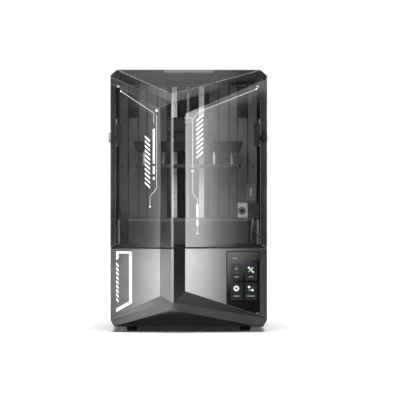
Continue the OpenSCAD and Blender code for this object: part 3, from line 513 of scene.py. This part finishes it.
def lid():
    """The smoked lid. Its inner faces have a clearer finish, so that the wall counts once."""
    middle = (lid_low + lid_high) / 2
    OUTER, INNER, EDGE, GRIP = range(4)

    def part_of_lid(f):
        at = f.calc_center_median()
        outer = f.normal.dot(at - middle) > 0
        rear = at.y > lid_high.y - 4 * MM or (at.y > 0 and f.normal.y > 0.5)
        grip = at.z > lid_high.z - 12 * MM and all(abs(v.co.x) < 62 * MM for v in f.verts)
        crossed = outer and abs(f.normal.y) < 0.3 and (abs(f.normal.x) > 0.5 or f.normal.z > 0.5)
        # the grip's underside and rear faces get the pale finish of painted light
        if grip and (f.normal.z < -0.9 or (f.normal.y > 0.5 and at.y < 0)):
            return GRIP
        if rear or crossed:
            return EDGE
        return OUTER if outer else INNER

    dressed("lid_shell", 1.1 * MM, 5, FINISHES["lid_tint"], LID_INSIDE, LID_EDGE, LID_GRIP_PAINTED_LIGHT,
            name="lid_clear_shell", sort=part_of_lid)


def block(bm, low, high):
    """A box between two corners."""
    bmesh.ops.create_cube(bm, size=1, matrix=Matrix.Translation((Vector(low) + Vector(high)) / 2)
                          @ Matrix.Diagonal((*(Vector(high) - Vector(low)), 1)))


def rear_shadow_strips():
    """Dark strips that fill the slits beside the tower as painted shade: below the hinges on the base, above them on
    the lid.
    """
    tower, wall_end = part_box("tower_back_cover")[1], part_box("lid_gasket")[1].y + 4 * MM
    hinge_low, hinge_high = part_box("hinge_brackets")
    for name, body, z, z_end, depths in (
            ("base_seals", "base", base_high.z + 8 * MM, hinge_low.z - 2 * MM, ((158, 163.4, 1.0, 2.4),)),
            ("lid_seals", "lid", hinge_high.z + 12 * MM, tower.z - 6 * MM,
             ((160.9, 163.4, -2.0, 7.0), (158, 163.4, 5.6, 7.0)))):
        bm = bmesh.new()
        for side in (-1, 1):
            for inner, outer, front, back in depths:
                a, b = sorted((side * inner, side * outer))
                block(bm, (a * MM, wall_end + front * MM, z), (b * MM, wall_end + back * MM, z_end))
        strips = put(name, outward(bm), FINISHES["black_rubber"])
        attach(strips, body)


# ---------- repeats by geometry nodes ----------

def copies_tree(name, **inputs):
    """A tree that makes real mesh of one finish from instances. Returns it, its input and its instancer."""
    tree = bpy.data.node_groups.new(name, "GeometryNodeTree")
    for socket, kind in {"Geometry": "Geometry", **inputs, "Finish": "Material"}.items():
        tree.interface.new_socket(socket, in_out="INPUT", socket_type="NodeSocket" + kind)
    tree.interface.new_socket("Geometry", in_out="OUTPUT", socket_type="NodeSocketGeometry")
    add, link = tree.nodes.new, tree.links.new
    start, end, copies = add("NodeGroupInput"), add("NodeGroupOutput"), add("GeometryNodeInstanceOnPoints")
    real, finish = add("GeometryNodeRealizeInstances"), add("GeometryNodeSetMaterial")
    link(copies.outputs["Instances"], real.inputs["Geometry"])
    link(real.outputs["Geometry"], finish.inputs["Geometry"])
    link(start.outputs["Finish"], finish.inputs["Material"])
    link(finish.outputs["Geometry"], end.inputs["Geometry"])
    return tree, start, copies


def row_tree():
    """Copies of the piece's own mesh in a row."""
    tree, start, copies = copies_tree("row_of_copies", Count="Int", Step="Vector")
    line, link = tree.nodes.new("GeometryNodeMeshLine"), tree.links.new
    link(start.outputs["Count"], line.inputs["Count"])
    link(start.outputs["Step"], line.inputs["Offset"])
    link(line.outputs["Mesh"], copies.inputs["Points"])
    link(start.outputs["Geometry"], copies.inputs["Instance"])
    return tree


def points_tree():
    """Copies of another piece's mesh on the points of this one."""
    tree, start, copies = copies_tree("copies_on_points", Pattern="Object")
    info, link = tree.nodes.new("GeometryNodeObjectInfo"), tree.links.new
    link(start.outputs["Pattern"], info.inputs["Object"])
    link(start.outputs["Geometry"], copies.inputs["Points"])
    link(info.outputs["Geometry"], copies.inputs["Instance"])
    return tree


ROW, ON_POINTS = row_tree(), points_tree()


def grown(piece, tree, **values):
    """The plain mesh that a tree makes of the piece, in the piece's place."""
    maker = piece.modifiers.new("maker", "NODES")
    maker.node_group = tree
    for item in tree.interface.items_tree:
        if item.item_type == "SOCKET" and item.in_out == "INPUT" and item.name in values:
            maker[item.identifier] = values[item.name]
    bpy.context.view_layer.update()
    made = bpy.data.meshes.new_from_object(piece.evaluated_get(bpy.context.evaluated_depsgraph_get()))
    piece.modifiers.remove(maker)
    old, piece.data = piece.data, made
    name = old.name
    bpy.data.meshes.remove(old)
    made.name = name
    return piece


def joined(name, pieces):
    """Several pieces' meshes as one."""
    bm = bmesh.new()
    finishes = []
    for piece in pieces:
        first = len(bm.faces)
        bm.from_mesh(piece.data)
        bm.faces.ensure_lookup_table()
        finish = piece.data.materials[0]
        if finish not in finishes:
            finishes.append(finish)
        for f in bm.faces[first:]:
            f.material_index = finishes.index(finish)
        bpy.data.objects.remove(piece)
    return put(name, bm, *finishes)


def hatch(name, place, u, z, width, tall, lean, count, step, finish):
    """A column of slanted bars. lean is how much the outer end stands higher."""
    bm = bmesh.new()
    plate(bm, [(u, z), (u + width, z + lean), (u + width, z + lean + tall), (u, z + tall)], place)
    return grown(put(name, outward(bm), finish), ROW, Count=count, Step=Vector((0, 0, step)), Finish=finish)


# ---------- print on the lid ----------

def lid_print():
    """Thin white lines that run along the facets' edges, with slanted bars beside them."""
    ink = FINISHES["white_print"]
    bm = bmesh.new()
    thin, thick = 0.6 * MM, 4 * MM

    def left(points, width=thin):
        plate(bm, stroke([(u * MM, z * MM) for u, z in points], width), LEFT_PANEL)

    def right(points, width=thin):
        plate(bm, stroke([(u * MM, z * MM) for u, z in points], width), RIGHT_PANEL)

    left([(84, 503), (14, 457), (14, 436)])
    left([(8, 452), (8, 300), (22, 284), (22, 262)])
    left([(14, 424), (14, 352)], thick)
    left([(14, 346), (14, 330)], thick)
    left([(14, 324), (14, 318)], thick)
    right([(150, 508), (28, 459), (16, 444), (16, 342)])
    right([(16, 330), (16, 290), (26, 278), (26, 206)])
    right([(26, 268), (26, 240)], thick)
    right([(26, 234), (26, 222)], thick)
    for place, u, z in ((LEFT_PANEL, 84, 503), (LEFT_PANEL, 22, 262), (RIGHT_PANEL, 150, 508),
                        (RIGHT_PANEL, 26, 206)):
        plate(bm, disc(u * MM, z * MM, 2.2 * MM, 4), place)
    for place, u, z in ((LEFT_PANEL, 8, 462), (RIGHT_PANEL, 16, 336)):
        ring(bm, u * MM, z * MM, 2.6 * MM, 1.4 * MM, place)
    lines = put("lid_lines", outward(bm), ink)
    tall, step = 4.4 * MM, 9.6 * MM
    bars = [
        hatch("left_bars", LEFT_PANEL, 22 * MM, 300 * MM, 11 * MM, tall, 10 * MM, 11, step, ink),
        hatch("right_bars", RIGHT_PANEL, 24 * MM, 362 * MM, 14 * MM, tall, 12 * MM, 9, step, ink),
    ]
    piece = joined("lid_print", [lines, *bars])
    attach(piece, "lid")
    return piece


# ---------- outline plate on the base ----------

def name_plate():
    """A bare plate: a white border open on its left, with slanted marks there."""
    ink = FINISHES["white_print"]
    thick = 0.6 * MM
    bm = bmesh.new()
    inner, outer, high = 60.4 * MM, 94 * MM, 168.5 * MM
    side, rim, end = 6 * MM, 4 * MM, 4.8 * MM
    foot_in, foot_out = 61 * MM, 42 * MM
    plate(bm, [(inner, high), (outer, high), (outer, high - 18 * MM), (outer - end, high - 14 * MM),
               (outer - end, high - rim), (inner + side, high - rim), (inner + side, foot_in + 3.6 * MM),
               (outer, foot_out + 7.2 * MM), (outer, foot_out), (inner, foot_in)], LEFT_PANEL, 0.0, thick)
    border = put("plate_border", outward(bm), ink)
    bm = bmesh.new()
    low, tall, lean = 62 * MM, 5 * MM, 5 * MM
    plate(bm, [(outer - end, low), (outer, low + lean), (outer, low + lean + tall), (outer - end, low + tall)],
          LEFT_PANEL, 0.0, thick)
    marks = grown(put("plate_marks", outward(bm), ink), ROW, Count=9, Step=Vector((0, 0, 9.2 * MM)), Finish=ink)
    return stand_for(joined("plate_outline", [border, marks]), "name_plate")


# ---------- screen ----------

def screen_picture():
    """What the screen shows: four tiles with plain symbols, and bars where words would be."""
    glass = 0.4 * MM
    # the tile and field glows rise towards the upper left corner as a painted reflection on the screen glass
    tile, dim, grey, white, green, field = (
        painted_reflection_from_corner(glowing("screen_tile", (1, 1, 1.05), 1.0), 0.02, 0.08),
        glowing("screen_dim", (0.2, 0.2, 0.2), 0.6),
        glowing("screen_grey", (0.45, 0.45, 0.45), 0.9), glowing("screen_white", (1, 1, 1), 1.0),
        glowing("screen_green", (0.2, 0.75, 0.12), 0.8),
        painted_reflection_from_corner(glowing("screen_field", (1, 1, 1), 1.0), 0.002, 0.148))
    TILE, DIM, GREY, WHITE, GREEN, FIELD = range(6)
    bm = bmesh.new()

    def shape(outline, tag, level=1):
        plate(bm, [(u * MM, z * MM) for u, z in outline], RIGHT_PANEL, glass + 0.02 * MM * (level - 1),
              0.03 * MM * level, tag)

    def bar(u, z, width, height, tag):
        shape(rectangle(u, z, width, height), tag, 2)

    shape([(88.5, 167.4), (88.5, 59.3), (155.8, 38.8), (155.8, 167.4)], FIELD, 0.7)
    for u in (95.6, 125.4):
        for z in (108, 67.2):
            shape([(u, z), (u + 25.8, z), (u + 25.8, z + 36), (u, z + 36)], TILE)
    bar(100.3, 154.2, 2.0, 2.0, GREEN)
    bar(106.0, 154.2, 7.5, 1.6, GREY)
    bar(145.6, 154.2, 8.5, 1.2, DIM)
    for u, z, width in ((108, 115.6, 9), (138, 115.6, 9), (108, 75.4, 12), (138, 75.4, 16)):
        bar(u, z, width, 1.5, GREY)
    bar(152, 39.6, 4.6, 1.1, GREY)

    # a print symbol
    ring(bm, 107.5 * MM, 132.6 * MM, 4.6 * MM, 3.9 * MM, RIGHT_PANEL, glass, 0.05 * MM, DIM)
    shape(disc(107.5, 132.6, 2.0), GREY, 2)
    bar(107.5, 125.0, 11, 0.9, DIM)

    # crossed tools
    def tool(points, width, tag):
        shape(stroke(points, width), tag, 2)

    tool([(133.2, 125.8), (138.0, 130.6)], 2.6, GREEN)
    tool([(138.0, 130.6), (142.6, 135.2)], 1.6, WHITE)
    tool([(142.4, 125.8), (134.4, 134.0)], 2.0, WHITE)
    shape(disc(133.6, 134.8, 2.3, 6), WHITE, 2)
    shape(disc(142.9, 125.4, 1.9, 6), WHITE, 2)

    # a gear with ten teeth
    teeth, middle = 10, (107.5, 91.4)
    outline = []
    for k in range(teeth):
        for share, radius in ((-0.32, 5.0), (-0.2, 6.3), (0.2, 6.3), (0.32, 5.0)):
            angle = 2 * math.pi * (k + share) / teeth
            outline.append((middle[0] + radius * math.cos(angle), middle[1] + radius * math.sin(angle)))
    shape(outline, WHITE, 2)
    shape(disc(*middle, 2.4), TILE, 3)

    # two sliders
    bar(140.5, 94.2, 7, 1.1, DIM)
    shape(disc(134.2, 94.2, 2.5), WHITE, 3)
    bar(136.2, 87.8, 7, 1.7, GREEN)
    shape(disc(141.4, 87.8, 2.5), WHITE, 3)

    piece = put("screen_picture", outward(bm), tile, dim, grey, white, green, field)
    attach(piece, "base")


# ---------- screws ----------

def screw_head(radius, depth, axis):
    """A round head with a hexagon socket, seen along the axis."""
    bm = bmesh.new()
    count = 24
    angles = [2 * math.pi * k / count for k in range(count)]
    levels = [(radius, 0), (radius, 0.8 * depth), (0.86 * radius, depth), (0.56 * radius, depth)]
    loops = [[bm.verts.new((r * math.cos(a), r * math.sin(a), z)) for a in angles] for r, z in levels]
    socket = []
    for a in angles:
        edge = math.cos(math.pi / 6) / math.cos((a % (math.pi / 3)) - math.pi / 6)
        socket.append((0.5 * radius * edge * math.cos(a), 0.5 * radius * edge * math.sin(a)))
    for z in (depth, 0.35 * depth):
        loops.append([bm.verts.new((x, y, z)) for x, y in socket])
    for a, b in zip(loops, loops[1:]):
        for k in range(count):
            j = (k + 1) % count
            bm.faces.new((a[k], a[j], b[j], b[k]))
    bm.faces.new(loops[0][::-1])
    bm.faces.new(loops[-1])
    turn = Vector((0, 0, 1)).rotation_difference(Vector(axis)).to_matrix().to_4x4()
    bmesh.ops.transform(bm, matrix=turn, verts=bm.verts)
    return put("screw_pattern", outward(bm), SCREW_BLACK)


def screws():
    """Heads on the tower's front and back, and in the feet."""
    front_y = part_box("tower_front_cover")[0].y + TOWER_FACE_IN
    back_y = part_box("tower_back_cover")[1].y
    head, sunk = 2.5 * MM, 1.6 * MM
    groups = [
        ("front_heads", (0, -1, 0), head, sunk,
         [(x * MM, front_y, z * MM) for x in (-146, 146) for z in (200, 350, 505)]),
        ("back_heads", (0, 1, 0), head, sunk,
         [(x * MM, back_y - sunk, z * MM) for x in (-146, 146) for z in (200, 350, 515)]),
        ("foot_heads", (0, 0, -1), 3.3 * MM, 2 * MM,
         [(x * MM, y * MM, 3 * MM) for x in (-120, 120) for y in (-92, 132)]),
    ]
    made = []
    for name, axis, radius, depth, spots in groups:
        pattern = screw_head(radius, depth, axis)
        bm = bmesh.new()
        for spot in spots:
            bm.verts.new(spot)
        made.append(grown(put(name, bm, SCREW_BLACK), ON_POINTS, Pattern=pattern, Finish=SCREW_BLACK))
        bpy.data.objects.remove(pattern)
    stand_for(joined("screw_heads", made), "case_screws")


# ---------- the rest of the CAD pieces ----------

# Each piece's rounding in millimetres, and how sharp in degrees an edge is that gets it
SOFT_EDGES = {
    "base_housing": (0.7, 5), "bottom_plate": (0.4, SOFT), "rubber_feet": (0.5, SOFT), "screen_glass": (0.3, SOFT),
    "tilt_platform": (0.6, SOFT), "latch_posts": (0.4, SOFT), "latch_left": (0.4, SOFT), "latch_right": (0.4, SOFT),
    "tower_back_cover": (0.5, SOFT), "column_profile": (0.4, SOFT), "linear_rails": (0.35, SOFT),
    "rail_carriages": (0.4, SOFT), "z_arm": (0.7, SOFT), "plate_bracket": (0.6, 20), "plate_posts": (0.4, SOFT),
    "build_plate": (0.6, SOFT), "clamp_lever": (0.4, SOFT), "hinge_brackets": (0.5, SOFT), "hinge_caps": (0.6, SOFT),
    "power_rocker": (0.3, SOFT), "switch_frame": (0.3, SOFT), "dc_inlet": (0.25, SOFT), "usb_port": (0.15, SOFT),
    "mask_display": (0.3, SOFT), "vat_film_frame": (0.3, SOFT),
}


OWN_FINISHES = {
    "plate_bracket": BRACKET_BLACK, "tilt_platform": PLATFORM_GREY, "plate_posts": POST_BRIGHT,
    "latch_posts": LATCH_GREY, "latch_left": LATCH_BLACK, "latch_right": LATCH_BLACK,
    "column_profile": BRACKET_BLACK, "vat_film_frame": PLATFORM_GREY,
}


def dress_the_machine():
    """Soft-edged copies of the pieces that show, and a finish for every CAD piece."""
    for node, (width, sharp) in SOFT_EDGES.items():
        dressed(node, width * MM, sharp, OWN_FINISHES.get(node, FINISHES[slot_of_node[node]]))
    for node, cad in nodes.items():
        cad.data.materials.clear()
        cad.data.materials.append(FINISHES[slot_of_node[node]])


# ---------- studio ----------

def studio_floor():
    bm = bmesh.new()
    bmesh.ops.create_grid(bm, x_segments=1, y_segments=1, size=6)
    pale = new_finish("pale_floor", (0.9, 0.9, 0.9), 0.9, Emission_Color=(1, 1, 1, 1), Emission_Strength=0.02)
    floor = put("studio_floor", bm, pale)
    floor.visible_glossy = False
    floor.visible_diffuse = False
    return floor


SOFTBOX_AHEAD = 1.0                 # of the front corners
SOFTBOX_Y = CORNER_Y - SOFTBOX_AHEAD
SOFTBOX_HALF = 2.2                  # half a wide softbox's width
EVEN = [(-1.0, 1.0), (1.0, 1.0)]    # the same level all along a sheet


def glowing_sheet(name, corners, strength, stops):
    """A glowing sheet that is seen only in reflections. stops are (x, level) along it, from left to right."""
    bm = bmesh.new()
    bm.faces.new([bm.verts.new(corner) for corner in corners])
    sheet = put(name, bm)
    glow = bpy.data.materials.new(name)
    glow.use_nodes = True
    tree = glow.node_tree
    tree.nodes.clear()
    place, split = tree.nodes.new("ShaderNodeTexCoord"), tree.nodes.new("ShaderNodeSeparateXYZ")
    ramp, light = tree.nodes.new("ShaderNodeValToRGB"), tree.nodes.new("ShaderNodeEmission")
    span, out = tree.nodes.new("ShaderNodeMapRange"), tree.nodes.new("ShaderNodeOutputMaterial")
    span.inputs["From Min"].default_value = -1.0
    span.inputs["From Max"].default_value = 1.0
    tree.links.new(place.outputs["Object"], split.inputs["Vector"])
    tree.links.new(split.outputs["X"], span.inputs["Value"])
    tree.links.new(span.outputs["Result"], ramp.inputs["Fac"])
    tree.links.new(ramp.outputs["Color"], light.inputs["Color"])
    tree.links.new(light.outputs["Emission"], out.inputs["Surface"])
    points = ramp.color_ramp.elements
    points[0].position, points[1].position = (stops[0][0] + 1) / 2, (stops[-1][0] + 1) / 2
    for x, level in stops[1:-1]:
        points.new((x + 1) / 2)
    for stop, (x, level) in zip(points, stops):
        stop.color = (level, level, level, 1)
    light.inputs["Strength"].default_value = strength
    sheet.data.materials.append(glow)
    sheet.visible_camera = False
    sheet.visible_shadow = False
    sheet.visible_diffuse = False
    return sheet


def upright_sheet(name, corners, strength, stops, back=0.0):
    """A sheet ahead of the printer with those (x, z) corners."""
    return glowing_sheet(name, [(x, SOFTBOX_Y + back, z) for x, z in corners], strength, stops)


def softbox(name, low, high, strength, stops):
    """A wide upright sheet ahead of the printer, between two heights."""
    x = SOFTBOX_HALF
    return upright_sheet(name, ((-x, low), (x, low), (x, high), (-x, high)), strength, stops)


def side_softbox(name, x, strength):
    """An upright sheet beside the printer, for its rounded edges."""
    corners = [(x, y, z) for y, z in ((-0.1, 0.1), (0.25, 0.1), (0.25, 0.6), (-0.1, 0.6))]
    return glowing_sheet(name, corners, strength, EVEN)


def bounce_card(name, front, back, strength, stops):
    """A level sheet just under the floor, between two depths."""
    corners = [(x, y, -2 * MM) for x, y in ((-1, front), (1, front), (1, back), (-1, back))]
    return glowing_sheet(name, corners, strength, stops)


def area_light(name, place, aim, size, power, glossy):
    """A square lamp aimed at a point, itself unseen; glossy says whether it shows in reflections."""
    light = bpy.data.objects.new(name, bpy.data.lights.new(name, "AREA"))
    bpy.context.scene.collection.objects.link(light)
    light.location = place
    light.rotation_euler = (Vector(aim) - Vector(place)).to_track_quat("-Z", "Y").to_euler()
    light.data.size = size
    light.data.energy = power
    light.visible_glossy = glossy
    light.visible_camera = False
    return light


def light_only(light, things, name):
    """The light falls on these things alone."""
    group = bpy.data.collections.new(name)
    for thing in things:
        group.objects.link(thing)
    light.light_linking.receiver_collection = group


# What each of two lights reaches, by how the pieces' names begin
SHINY = ("linear_rails", "plate_posts", "hinge_pins", "lead_screw", "rail_carriages", "latch_posts", "latch_left",
         "latch_right", "camera_body", "hinge_brackets", "camera_cable", "lamp_body")
INNER = ("tower_front", "vat_dressed", "hinge", "camera", "plate_posts")


def reflected_sheets():
    """What the lid, the base and their edges reflect."""
    return [
        upright_sheet("shelf_card", ((-0.8, 0.26), (-0.62, 0.26), (-0.62, 0.46), (-0.8, 0.46)), 0.64, EVEN, 0.01),
        softbox("base_top_softbox", 0.085, 0.142, 2.3,
                [(-1.0, 0.38), (-0.80, 0.38), (-0.70, 0.08), (-0.60, 0.07), (-0.53, 0.15), (-0.46, 0.9),
                 (-0.40, 1.0), (-0.12, 0.34), (0.04, 0.34), (0.12, 0.9), (0.16, 0.85), (0.22, 0.16), (0.30, 0.02)]),
        softbox("base_softbox", -0.6, 0.085, 1.7,
                [(-1.0, 0.4), (-0.80, 0.4), (-0.70, 0.08), (-0.60, 0.09), (-0.53, 0.16), (-0.46, 0.85),
                 (-0.40, 1.0), (-0.12, 0.42), (0.04, 0.42), (0.12, 0.95), (0.16, 0.85), (0.22, 0.18), (0.30, 0.03)]),
        softbox("lid_softbox", 0.142, 0.53, 1.7,
                [(-1.0, 0.0), (-0.86, 0.0), (-0.78, 0.14), (-0.66, 0.16), (-0.62, 0.0), (-0.53, 0.02),
                 (-0.49, 0.06), (-0.44, 0.5), (-0.12, 0.66), (0.04, 0.66), (0.10, 0.85), (0.17, 0.8),
                 (0.22, 0.24), (0.29, 0.0)]),
        softbox("brow_softbox", 0.53, 1.1, 1.7,
                [(-1.0, 0.02), (-0.56, 0.02), (-0.50, 0.25), (-0.46, 0.35), (0.0, 0.5), (0.16, 0.3), (0.20, 0.0)]),
        upright_sheet("slanted_softbox", ((0.22, 0.51), (0.46, 0.62), (0.46, 1.0), (0.22, 1.0)), 1.0,
                      [(0.2, 0.6), (0.36, 0.5), (0.44, 0.05)]),
        softbox("shelf_softbox", 1.1, 1.35, 0.06, EVEN),
        softbox("crease_softbox", 1.36, 1.75, 2.4, [(-0.7, 0.0), (-0.5, 1.0), (0.5, 1.0), (0.7, 0.0)]),
        side_softbox("left_edge_softbox", -1.2, 3.0),
        side_softbox("right_edge_softbox", 1.2, 3.0),
        glowing_sheet("top_softbox", [(-0.8, -2.6, 2.0), (0.8, -2.6, 2.0), (0.8, -0.2, 2.0), (-0.8, -0.2, 2.0)], 1.2,
                      [(-0.4, 0.05), (-0.2, 0.12), (-0.05, 0.2), (0.06, 0.21), (0.15, 0.17), (0.2, 0.05),
                       (0.26, 0.0)]),
        bounce_card("bounce_card", -0.5, -0.14, 0.6,
                    [(-0.24, 0.2), (-0.16, 0.35), (-0.10, 0.6), (-0.04, 0.6), (-0.02, 0.2), (0.06, 0.2),
                     (0.12, 0.16), (0.2, 0.25)]),
    ]


def floor_suns(floor):
    """Suns that only the floor gets: the machine's soft shadow comes from them."""
    for name, lean, energy, angle in (("floor_light", 0, 4.4, 42), ("low_light_left", -70, 0.9, 12),
                                      ("low_light_right", 70, 0.9, 12)):
        sun = bpy.data.objects.new(name, bpy.data.lights.new(name, "SUN"))
        bpy.context.scene.collection.objects.link(sun)
        sun.data.energy = energy
        sun.data.angle = math.radians(angle)
        sun.rotation_euler = (0, math.radians(lean), 0)
        light_only(sun, [floor], "lit_by_" + name)


def lamps(machine, print_pieces):
    """The lamps that light the machine, and those for its bright, its inner and its printed pieces."""
    middle, upper = (0, 0, 0.3), (0, 0, 0.35)
    key = area_light("key_light", (-0.6, -2.6, 1.6), middle, 1.6, 95, False)
    back = area_light("back_softbox", (1.2, 2.2, 1.0), middle, 1.4, 30, False)
    left = area_light("left_softbox", (-2.6, 0.6, 1.0), middle, 1.2, 16, False)
    for light in (key, back, left):
        light_only(light, machine, "lit_by_" + light.name)
    rails = area_light("rail_light", (0.3, -2.4, 0.9), upper, 0.9, 25, True)
    light_only(rails, [o for o in machine if o.name.startswith(SHINY)], "lit_rails")
    tower = area_light("tower_light", (0.1, -2.4, 0.5), middle, 1.2, 38, False)
    light_only(tower, [o for o in machine if o.name.startswith(INNER)], "lit_tower")
    front = area_light("print_light", (-0.4, -2.6, 0.6), middle, 0.8, 60, False)
    light_only(front, print_pieces, "lit_print")


def white_surroundings():
    """A white background, which lights the machine only faintly."""
    world = bpy.data.worlds.new("studio")
    bpy.context.scene.world = world
    world.use_nodes = True
    tree = world.node_tree
    tree.nodes.clear()
    seen, lit = tree.nodes.new("ShaderNodeBackground"), tree.nodes.new("ShaderNodeBackground")
    path, mix = tree.nodes.new("ShaderNodeLightPath"), tree.nodes.new("ShaderNodeMixShader")
    out = tree.nodes.new("ShaderNodeOutputWorld")
    seen.inputs["Color"].default_value = (1, 1, 1, 1)
    lit.inputs["Color"].default_value = (0.025, 0.025, 0.026, 1)
    tree.links.new(path.outputs["Is Camera Ray"], mix.inputs["Fac"])
    tree.links.new(lit.outputs["Background"], mix.inputs[1])
    tree.links.new(seen.outputs["Background"], mix.inputs[2])
    tree.links.new(mix.outputs["Shader"], out.inputs["Surface"])
    bpy.context.scene.view_settings.view_transform = "Standard"
    bpy.context.scene.view_settings.look = "None"


def studio(print_pieces):
    floor = studio_floor()
    sheets = reflected_sheets()
    floor_suns(floor)
    machine = [o for o in bpy.context.scene.objects if o.type in ("MESH", "CURVE") and o not in (floor, *sheets)]
    lamps(machine, print_pieces)
    white_surroundings()


look_from_the_front()
leads()
dress_the_machine()
tower_front()
vat()
chamber_camera()
chamber_lamp()
lid()
rear_shadow_strips()
printed = [lid_print(), name_plate()]
screen_picture()
screws()
studio(printed)
